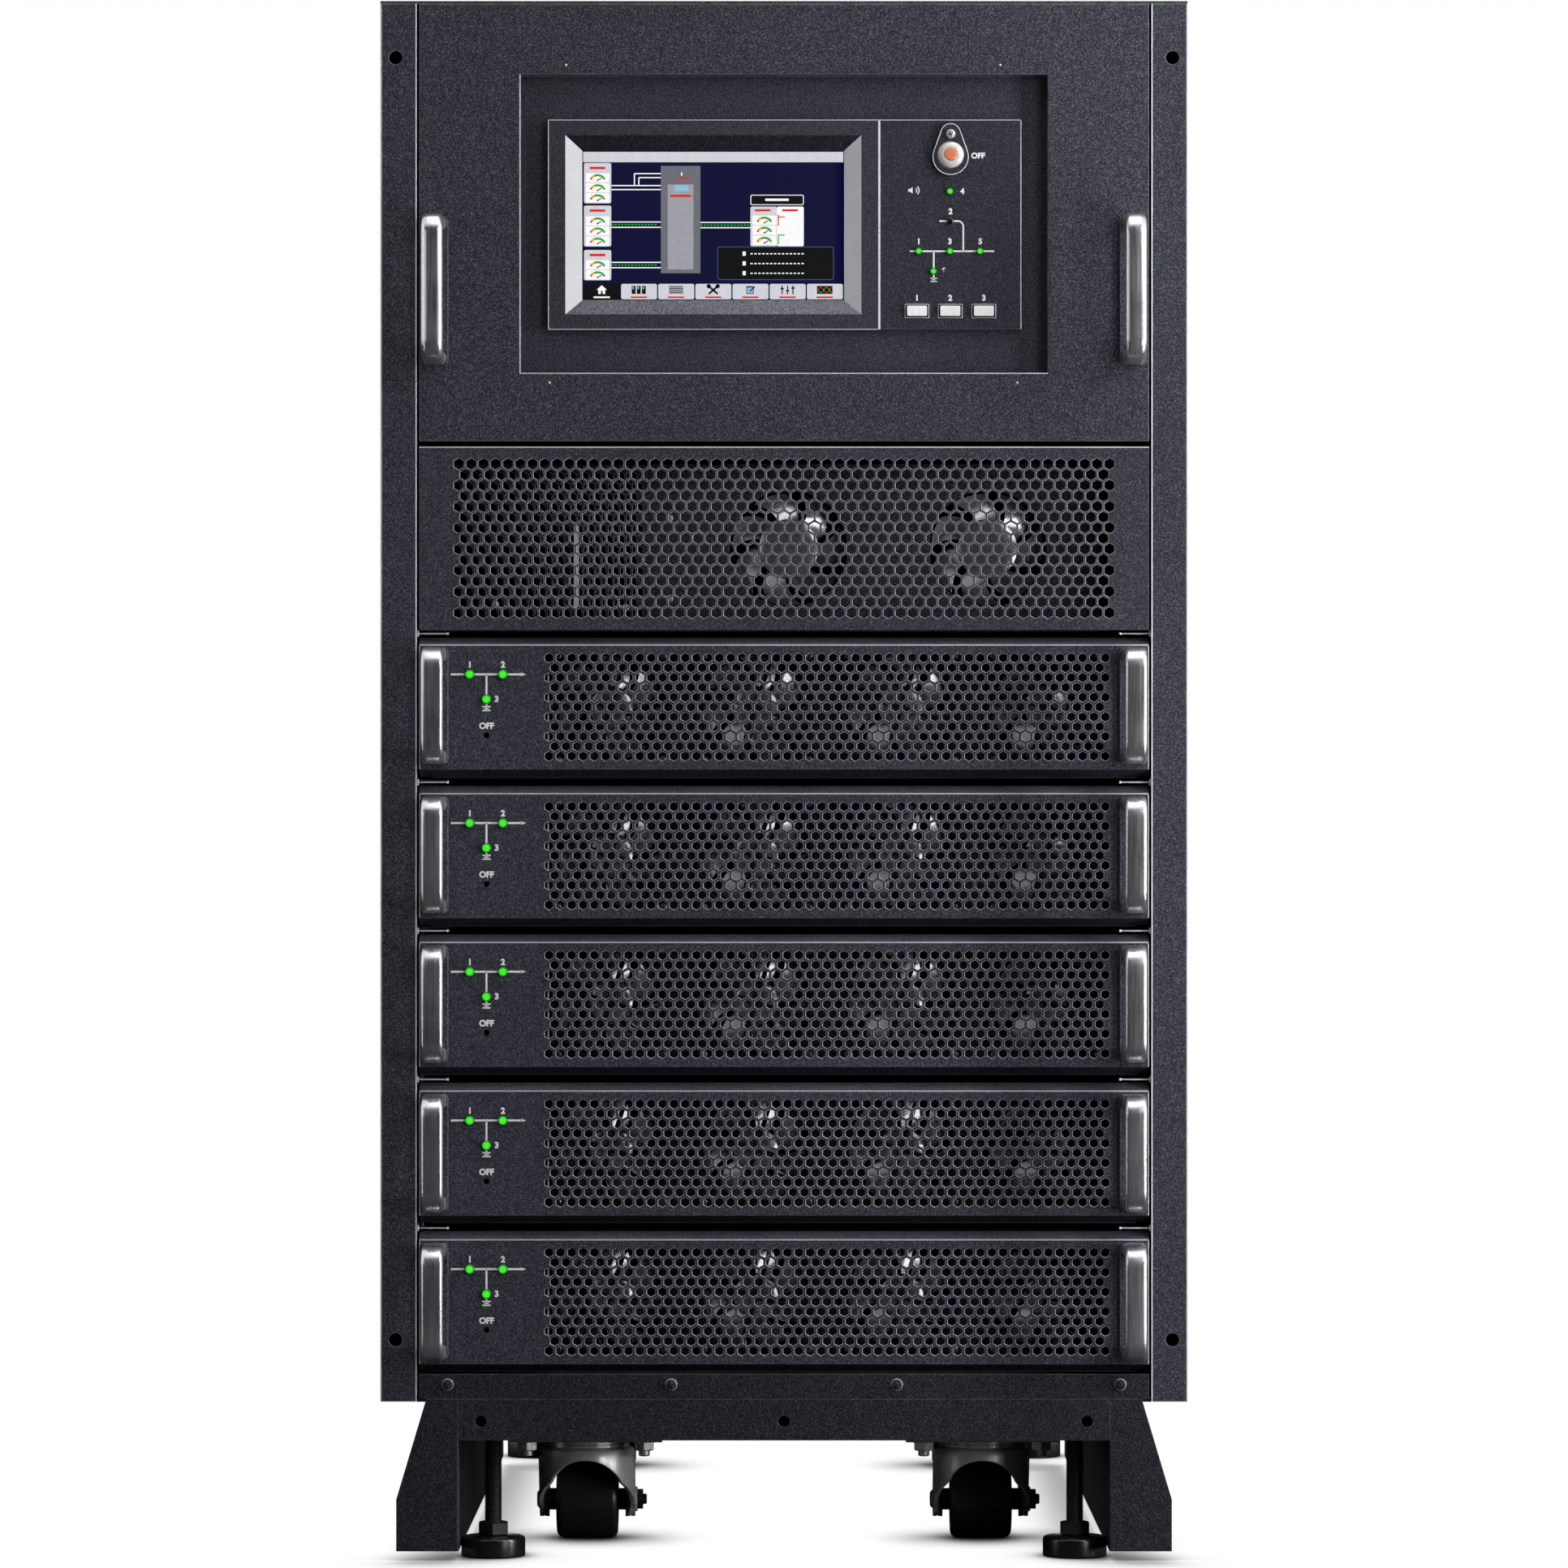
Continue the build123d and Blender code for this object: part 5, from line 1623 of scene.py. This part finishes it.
def screen_picture():
    """A plain control layout of generic cards, gauges, links and tabs in the colours of such a screen."""
    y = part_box("display_screen")[0].y / MM - edge_stand
    width = screen_right - screen_left
    height = screen_top - screen_bottom
    shape = Shape()

    def place(x, z):
        """A point of the screen from its shares, counted from the lower left corner."""
        return screen_left + width * x, screen_bottom + height * z

    def card(x0, z0, x1, z1, color, level=1, corner=0.0):
        """A flat card, with rounded corners if it has a corner radius."""
        a, c = place(x0, z0)
        b, d = place(x1, z1)
        if corner:
            outline = rounded_box(b - a, d - c, corner, 3)
            shape.prism(outline, layer_step * level, facing((a + b) / 2, y, (c + d) / 2), layers[color])
        else:
            shape.box((a, y - layer_step * level, c), (b, y, d), layers[color])

    def stroke(start, end, color, level=1, thick=stroke_weight):
        """A straight line between two points."""
        line(shape, place(*start), place(*end), thick, y, layers[color], layer_step * level)

    def gauge(x, z):
        """A small white dial with a coloured arc and a needle."""
        card(x, z, x + gauge_width_share, z + gauge_height_share, "white", 2, gauge_corner)
        a, c = place(x + gauge_width_share / 2, z + gauge_height_share * gauge_foot_share)
        radius = height * gauge_height_share * gauge_radius_share
        for step in range(gauge_steps):
            turn = [math.radians(gauge_start - gauge_step * (step + more)) for more in (0, 1)]
            ends = [(a + radius * gauge_stretch * math.cos(t), c + radius * math.sin(t)) for t in turn]
            color = "red" if step == 0 else "amber" if step < 3 else "green"
            line(shape, ends[0], ends[1], arc_weight, y, layers[color], layer_step * 3)
        tip = (a + radius * needle_across_share, c + radius * needle_rise_share)
        line(shape, (a, c), tip, needle_weight, y, layers["red"], layer_step * 4)
        shape.prism(regular(10, needle_hub_radius), layer_step * 4, facing(a, y, c), layers["black"])

    def link(x0, x1, z):
        """Two white rails with green dashes between them."""
        for rise in (-rail_rise_share, rail_rise_share):
            stroke((x0, z + rise), (x1, z + rise), "white", 1, rail_weight)
        for dash in range(int((x1 - x0) / link_dash_share)):
            start = x0 + dash * link_dash_share
            stroke((start, z), (start + link_dash_share * dash_share, z), "green", 2, dash_weight)

    for values in ground_shares:
        card(*values)
    for bottom, top, dials in meter_shares:
        card(meter_left_share, bottom, meter_right_share, top, "pale", 1, meter_corner)
        card(title_left_share, top - title_bottom_share, title_right_share, top - title_top_share, "red", 2)
        for row in range(dials):
            gauge(meter_gauge_share, bottom + gauge_gap_share + row * gauge_pitch_share)
    for z in bypass_low_shares:
        stroke((meter_right_share, z), (cabinet_left_share, z), "white")
    for rise, reach in bypass_high_shares:
        stroke((reach, rise), (cabinet_left_share, rise), "white")
        stroke((reach, rise), (reach, bypass_low_shares[0]), "white")
    for values in link_shares:
        link(*values)
    for values in cabinet_card_shares:
        card(*values)
    stroke(*status_shares, "red", 4, status_weight)
    x, z = place(*status_head_shares)
    arrow(shape, x, y - layer_step * 4, z, status_head_size, half_turn, layers["red"])
    for values in output_card_shares:
        card(*values)
    left, bottom = output_gauge_shares
    for row in range(3):
        gauge(left, bottom + row * gauge_pitch_share)
    for start, end, color, thick in bar_shares:
        stroke(start, end, color, 2, thick)
    for values in notice_shares:
        card(*values)
    for row in range(notice_rows):
        z = notice_low_share + row * notice_pitch_share
        left, under, right, over = notice_mark_shares
        card(left, z - under, right, z + over, "white", 3)
        length, under, over = notice_dash_shares
        for dash in range(notice_dashes):
            x0 = notice_start_share + dash * notice_step_share
            card(x0, z - under, x0 + length, z + over, "white", 3)
    tab_width = 1.0 / tab_count
    for tab in range(tab_count):
        x0 = tab * tab_width
        ground, print_tone = ("black", "white") if tab == 0 else ("pale", "red")
        left, bottom, right, top = tab_shares
        card(x0 + left, bottom, x0 + tab_width - right, top, ground, 1, tab_corner)
        left, bottom, right, top = tab_line_shares
        card(x0 + tab_width * left, bottom, x0 + tab_width * right, top, print_tone, 2)
        tab_sign(shape, tab, place(x0 + tab_width / 2, tab_sign_share), y - layer_step)
    settle(shape.piece("screen_picture", screen_finishes, smooth=False), "cabinet", "screen_glass",
           "display_screen")


def tab_sign(shape, tab, centre, y):
    """The small sign of one tab: house, bars, table, tools, note, sliders or wave."""
    x, z = centre

    def mark(left, right, bottom, top, color, level=1):
        """A flat rectangle about the tab's centre."""
        shape.box((x + left, y - layer_step * level, z + bottom), (x + right, y, z + top), layers[color])

    if tab == 0:
        shape.prism(house_outline, layer_step, facing(x, y, z), layers["white"])
        mark(-door_half, door_half, -sign_half, -door_half, "black", 2)
    elif tab == 1:
        for column in range(3):
            a = -sign_width + column * bar_pitch
            left, right, bottom, top = bar_face
            mark(a, a + bar_width, -sign_half, sign_top, "black")
            mark(a + left, a + right, bottom, top, "blue", 2)
    elif tab == 2:
        mark(-sign_width, sign_width, -sign_half, sign_top, "steel")
        for row in range(4):
            height = row_low + row * row_pitch
            mark(-row_half, row_half, height, height + row_weight, "black", 2)
    elif tab == 3:
        for side in (-1, 1):
            end = (x + side * tool_reach, z + sign_half)
            start = (x - side * tool_reach, z - sign_half)
            line(shape, start, end, tool_weight, y, layers["black"], layer_step)
            head = regular(8, tool_head_radius)
            shape.prism(head, layer_step, facing(end[0], y, end[1]), layers["black"])
    elif tab == 4:
        mark(page_left, page_right, -sign_half, sign_half, "black")
        mark(*page_face, "blue", 2)
        start, end = [(x + a, z + b) for a, b in (pen_start, pen_end)]
        line(shape, start, end, pen_weight, y, layers["black"], layer_step * 3)
    elif tab == 5:
        for column, rise in enumerate(slider_rises):
            a = -slider_pitch + column * slider_pitch
            start, end = [(x + a, z + b) for b in (slider_low, slider_high)]
            line(shape, start, end, slider_weight, y, layers["black"], layer_step)
            mark(a - knob_half, a + knob_half, rise - knob_rise, rise + knob_rise, "black", 2)
    else:
        mark(-trace_board, trace_board, -sign_half, sign_top, "black")
        for color, phase in (("red", 0.0), ("green", half_turn)):
            points = [(x - trace_half + step * trace_step,
                       z + trace_height * math.sin(step * trace_turn + phase))
                      for step in range(trace_count)]
            for start, end in zip(points, points[1:]):
                line(shape, start, end, trace_weight, y, layers[color], layer_step * 2)


# Casters and feet
def hex_nut(shape, x, y, z, flats, height, finish=0):
    """A chamfered hexagonal nut standing up from z."""
    face = flats * nut_face_share
    low = upright(x, y, z)
    shape.prism(regular(6, flats / math.sqrt(3), quarter_turn / 3), height - nut_chamfer * 2,
                upright(x, y, z + nut_chamfer), finish)
    shape.turned([(flats / 2, nut_chamfer), (face, 0), (0, 0)], 24, low, finish)
    shape.turned([(0, height), (face, height), (flats / 2, height - nut_chamfer)], 24, low, finish)


def thread(radius, low, high, pitch, depth):
    """The zigzag profile of a threaded rod, as rings."""
    profile = []
    count = int((high - low) / pitch)
    for index in range(count):
        profile.append((radius - depth, low + index * pitch))
        profile.append((radius, low + (index + 0.5) * pitch))
    profile.append((radius - depth, low + count * pitch))
    return profile


def levelling_feet():
    """Four feet: a domed pad with a groove, a lock nut and a threaded stud."""
    low, high = node_box("levelling_feet")
    shape = Shape()
    radius = foot_radius
    pad = [(0, 0), (radius - foot_edge, 0), (radius, foot_edge), (radius, foot_side)]
    pad += [(radius - foot_round * (1 - math.cos(angle)), foot_side + foot_round * math.sin(angle))
            for angle in [quarter_turn * step / 5 for step in range(1, 6)]]
    stud = thread(stud_radius, stud_low, stud_high, stud_pitch, stud_depth)
    stud = [(0, stud_start)] + stud + [(0, stud_end)]
    for x in (low.x + radius, high.x - radius):
        for y in (low.y + radius, high.y - radius):
            place = upright(x, y, 0)
            shape.turned(pad + list(foot_crown), 56, place, 0)
            hex_nut(shape, x, y, foot_nut_z, foot_nut_flats, foot_nut_height, 1)
            shape.turned(stud, 24, place, 2)
    finishes = [foot_plastic, dark_steel, stud_metal]
    settle(shape.piece("feet", finishes), "cabinet", "foot_black", "levelling_feet")


def fork_low(x, y):
    """The lowest height of the fork's skin at a place round its swivel axis."""
    run = fork_radius
    slopes = []
    for corner, side in ((-run, 1), (run, -1)):
        across_y = fork_trail - corner
        fall = axle_rise - fork_crown
        angle = math.atan2(fall, abs(across_y)) - math.asin(fork_eye / math.hypot(across_y, fall))
        slopes.append(fork_crown + math.tan(angle) * (y - corner) * side)
    within = abs(y - fork_trail) < fork_eye
    arc = axle_rise - math.sqrt(max(fork_eye ** 2 - (y - fork_trail) ** 2, 0)) if within else -1.0
    lowest = max(*slopes, arc)
    if y > 0 and abs(x) < fork_mouth + 1:
        return max(lowest, fork_rear_gap)
    if abs(x) < fork_mouth:
        return max(lowest, fork_arch + math.sqrt(fork_mouth ** 2 - x ** 2))
    return lowest


def fork_skin(shape, x, y):
    """The pressed cup of a fork: smooth inside and outside, with an arched mouth and a bright rim."""
    columns = fork_columns
    layer = len(fork_crown_rows) + 1
    ring = 2 * layer
    skin = []
    for column in range(columns):
        angle = full_turn * column / columns
        low = fork_low(fork_radius * math.sin(angle), -fork_radius * math.cos(angle))
        for radius in (fork_radius, fork_radius - fork_sheet):
            a = radius * math.sin(angle)
            b = -radius * math.cos(angle)
            top = fork_top - (fork_radius - radius)
            skin.append((x + a, y + b, low))
            skin += [(x + a * share, y + b * share, top - drop) for share, drop in fork_crown_rows]
    first = len(shape.points)
    shape.add(skin, [])
    for column in range(columns):
        here = first + column * ring
        after = first + (column + 1) % columns * ring
        for k in range(ring - 1):
            if k != layer - 1:
                shape.faces.append([here + k, after + k, after + k + 1, here + k + 1])
                shape.finishes.append(0)
        shape.faces.append([here, after, after + layer, here + layer])
        shape.finishes.append(1)
    lid = [(fork_lid_bore, fork_top - fork_sheet), (fork_lid_bore, fork_top),
           (fork_radius * fork_lid_share, fork_top)]
    shape.turned(lid, 60, upright(x, y, 0), 0)


def fork_axle(shape, x, y):
    """The washer, nut, thread end and head of the bolt that is the wheel's axle."""
    bolt = across(x, y + fork_trail, axle_rise)
    far = fork_radius + washer_depth
    washer = [(0, fork_radius), (washer_radius, fork_radius), (washer_radius, far), (0, far)]
    shape.turned(washer, 32, bolt, 1)
    shape.prism(regular(6, axle_nut_radius, quarter_turn / 3), axle_nut_depth,
                bolt @ Matrix.Translation((0, 0, far)), 3)
    shape.turned(axle_end, 24, bolt @ Matrix.Translation((0, 0, far + axle_nut_depth)), 3)
    shape.turned([(radius, -fork_radius - out) for radius, out in axle_head], 28, bolt, 1)


def fork(shape, x, y):
    """A pressed fork with flat legs, sleeves and the axle bolt."""
    fork_skin(shape, x, y)
    inner = fork_radius - fork_sheet
    reach = wheel_half + sleeve_gap
    angles = [quarter_turn / 6 * (step - 5) for step in range(13)]
    outline = [(fork_trail + fork_eye * math.sin(angle), axle_rise - fork_eye * math.cos(angle))
               for angle in angles]
    outline += [(side * fork_leg_half, fork_top - fork_leg_drop) for side in (1, -1)]
    sleeve = [(0, inner), (sleeve_radius, inner), (sleeve_radius, reach), (0, reach)]
    for side in (-1, 1):
        start = inner if side > 0 else -fork_radius
        shape.slab([[(x + start + step, y + b, c) for b, c in outline] for step in (0, fork_sheet)], 0, 1)
        mirror = Matrix.Diagonal((1, 1, side, 1))
        shape.turned(sleeve, 32, across(x, y + fork_trail, axle_rise) @ mirror, 2)
    fork_axle(shape, x, y)


def wheel(node, body, name):
    """A wheel with rounded shoulders and a dished face."""
    low, high = node_box(node)
    centre = (low + high) / 2
    half = (high.x - low.x) / 2
    radius = (high.z - low.z) / 2 - wheel_shoulder
    profile = [(at, sunk - half) for at, sunk in wheel_face]
    profile += [(radius + wheel_shoulder * math.sin(angle),
                 wheel_shoulder - half - wheel_shoulder * math.cos(angle))
                for angle in [quarter_turn * step / 6 for step in range(7)]]
    profile += [(at, -out) for at, out in reversed(profile)]
    shape = Shape()
    shape.turned(profile + [profile[0]], 72, across(centre.x, centre.y, centre.z))
    settle(shape.piece(name, [wheel_plastic]), body, "wheel_black", node)
    return centre


def casters():
    """Wheels, forks and bearing rings with their plate bolts."""
    fixings = Shape()
    plate_bottom = node_box("caster_plates")[1].z - plate_thickness
    for corner in ("front_left", "front_right", "rear_left", "rear_right"):
        centre = wheel("caster_wheel_" + corner, "wheel_" + corner, "wheel_" + corner + "_tread")
        swivel = centre.y - fork_trail
        shape = Shape()
        fork(shape, centre.x, swivel)
        settle(shape.piece("fork_" + corner, [fork_metal, fork_rim, dark_steel, nut_metal]),
               "caster_" + corner, "plated_steel", "caster_fork_" + corner)
        fixings.turned(bearing_profile, 64, upright(centre.x, swivel, plate_bottom - bearing_drop), 0)
        for sx in (-1, 1):
            for sy in (-1, 1):
                a = centre.x + sx * bolt_spread_x
                b = swivel + sy * bolt_spread_y
                hex_nut(fixings, a, b, plate_bottom - plate_nut_drop, plate_nut_flats, plate_nut_height)
                fixings.turned(plate_bolt_profile, 20, upright(a, b, plate_bottom))
    settle(fixings.piece("caster_fixings", [bright_metal]), "cabinet", "plated_steel")


def build():
    """Every piece, then the finishes of the nodes that stay as they are."""
    fan_section()
    intake()
    rear_gap_shades()
    header_fans()
    for name in module_names:
        bottom = module_front(name)
        module_marks(name, bottom)
        module_fans(name)
        handle_pair(name + "_grips", name, name + "_handles", module_grip_corner)
    handle_pair("header_grips", "cabinet", "header_handles", header_grip_corner)
    control_marks()
    key_rims()
    emergency_button()
    guard_outline()
    key_caps()
    front_screws()
    rear_screws()
    screen_picture()
    levelling_feet()
    casters()
    bezel_bevels()
    edge_highlights()
    ledge_highlights()
    repaint(side_powder, "side_panel_left", "side_panel_right", "top_cover", "rear_panel")
    repaint(powder, "header_panel")
    # The base parts take the darkened powder coat: painted shade.
    repaint(painted_shade_powder, "lower_cross_rail", "base_skirt", "base_side_plate_left", "base_side_plate_right",
            "floor_tray")
    repaint(recess_powder, "header_recess_pan")
    repaint(bezel_powder, "display_bezel")
    repaint(control_powder, "control_panel", "epo_guard")
    repaint(inner_powder, "fan_section_plate")
    repaint(zinc, "guide_rails", "caster_plates")
    repaint(dark_steel, "chassis_walls", *[name + "_case" for name in module_names])


build()


# Floor, world, lamps and camera; a lamp's values are its name, place, target, width, height and power
card_distance = 2200.0
card_side = 2100.0
card_left_depth = 1600.0
card_right_depth = 900.0
card_low = -300.0
card_high = 3000.0
floor_reach = 30000.0
floor_shade_reach = 0.055
floor_shade_power = 2.6
floor_shade_gain = 1.12
floor_bounce = (0.05, 0.05, 0.053, 1)
card_color = (0.002, 0.002, 0.002, 1)
light_below = 0.03
light_above = 0.15
lamps = (
    ("top front", (0.2, front - 0.5, 2.3), (0, front, 0.9), 1.0, 0.5, 8.5),
    ("right strip", (1.0, front - 0.35, 0.78), (0, front, 0.7), 0.16, 1.5, 16),
    ("left strip", (-1.0, front - 0.35, 0.78), (0, front, 0.7), 0.07, 1.5, 1.6),
    ("upper right", (1.3, front - 1.6, 1.6), (0, front, 0.8), 0.9, 0.9, 11),
    ("lower right", (1.5, front - 1.5, 0.3), (0, front, 0.3), 0.7, 0.4, 7),
    ("upper left", (-1.2, front - 1.2, 1.0), (0, front, 0.6), 0.8, 0.8, 1.8),
    ("top", (0, 0.15, 2.6), (0, 0, 0), 1.2, 1.2, 10),
    ("back", (-0.8, rear + 1.8, 2.0), (0, rear, 0.6), 1.2, 1.0, 30),
)
camera_distance = 4.0
camera_lens = 137.8
camera_sensor = 36
camera_shift = 0.0497


def studio_floor():
    """A white floor with soft contact shadows, which throws only a little light back."""
    made, shader, graph = finish("studio floor", 0.0, 0.0)
    shader.inputs["Roughness"].default_value = 0.8
    path = graph.node("ShaderNodeLightPath").outputs
    seen = graph.math("MAXIMUM", path["Is Camera Ray"], path["Is Transmission Ray"])
    near = graph.node("ShaderNodeAmbientOcclusion", {"samples": 12}, Distance=floor_shade_reach).outputs["AO"]
    curved = graph.math("POWER", near, floor_shade_power)
    shade = graph.math("MINIMUM", graph.math("MULTIPLY", curved, floor_shade_gain), 1.0)
    graph.feed(shader, "Base Color", graph.blend(seen, floor_bounce, (0, 0, 0, 1)))
    lit = graph.math("MULTIPLY", seen, shade)
    graph.feed(shader, "Emission Color", graph.blend(lit, (0, 0, 0, 1), (1, 1, 1, 1)))
    shader.inputs["Emission Strength"].default_value = 1.0
    shape = Shape()
    corners = frame_corners(-floor_reach, floor_reach, -floor_reach, floor_reach)
    shape.add([(x, y, 0) for x, y in corners], [(0, 1, 2, 3)])
    shape.piece("floor", [made], smooth=False)


def dark_cards():
    """Black cards in front and at both sides that only reflections see, so that the flat faces stay dark."""
    made, shader = finish("black card", 0.0, 0.0)[:2]
    shader.inputs["Base Color"].default_value = card_color
    shader.inputs["Roughness"].default_value = 1.0
    y0 = front / MM - card_distance
    shape = Shape()
    for x0, x1, near, far in ((-card_side, card_side, y0, y0),
                              (-card_side, -card_side, y0, y0 + card_left_depth),
                              (card_side, card_side, y0, y0 + card_right_depth)):
        shape.add([(x0, near, card_low), (x1, far, card_low), (x1, far, card_high), (x0, near, card_high)],
                  [(0, 1, 2, 3)])
    card = shape.piece("black_cards", [made], smooth=False)
    card.visible_camera = False
    card.visible_diffuse = False
    card.visible_shadow = False
    card.visible_transmission = False


def studio_world():
    """A plain white surround, dimmer as a light than as a background and brighter from above."""
    world = bpy.data.worlds.new("surround")
    bpy.context.scene.world = world
    world.use_nodes = True
    graph = Graph(world.node_tree)
    background = world.node_tree.nodes["Background"]
    path = graph.node("ShaderNodeLightPath").outputs
    seen = graph.math("MAXIMUM", path["Is Camera Ray"], graph.math("MAXIMUM", path["Is Glossy Ray"],
                                                                 path["Is Transmission Ray"]))
    height = graph.node("ShaderNodeSeparateXYZ", Vector=graph.node("ShaderNodeTexCoord").outputs["Generated"])
    light = graph.ramp(height.outputs["Z"], 0.0, 1.0, light_below, light_above)
    background.inputs["Color"].default_value = (1, 1, 1, 1)
    graph.feed(background, "Strength", graph.math("MAXIMUM", seen, light))


def area_lamp(name, place, target, width, height, power):
    """A rectangular lamp that looks at a point."""
    data = bpy.data.lights.new(name, "AREA")
    data.shape = "RECTANGLE"
    data.size = width
    data.size_y = height
    data.energy = power
    made = bpy.data.objects.new(name, data)
    bpy.context.scene.collection.objects.link(made)
    made.location = place
    made.rotation_euler = (Vector(target) - Vector(place)).to_track_quat("-Z", "Y").to_euler()
    return made


def studio():
    """Floor, surround, lamps and camera."""
    studio_floor()
    dark_cards()
    studio_world()
    for values in lamps:
        area_lamp(*values)
    data = bpy.data.cameras.new("photo camera")
    data.lens = camera_lens
    data.sensor_width = camera_sensor
    data.sensor_fit = "HORIZONTAL"
    data.shift_y = camera_shift
    data.clip_end = 100
    camera = bpy.data.objects.new("photo camera", data)
    bpy.context.scene.collection.objects.link(camera)
    camera.location = (0, front - camera_distance, middle_height)
    camera.rotation_euler = (quarter_turn, 0, 0)
    bpy.context.scene.camera = camera
    bpy.context.scene.view_settings.view_transform = "Standard"


studio()
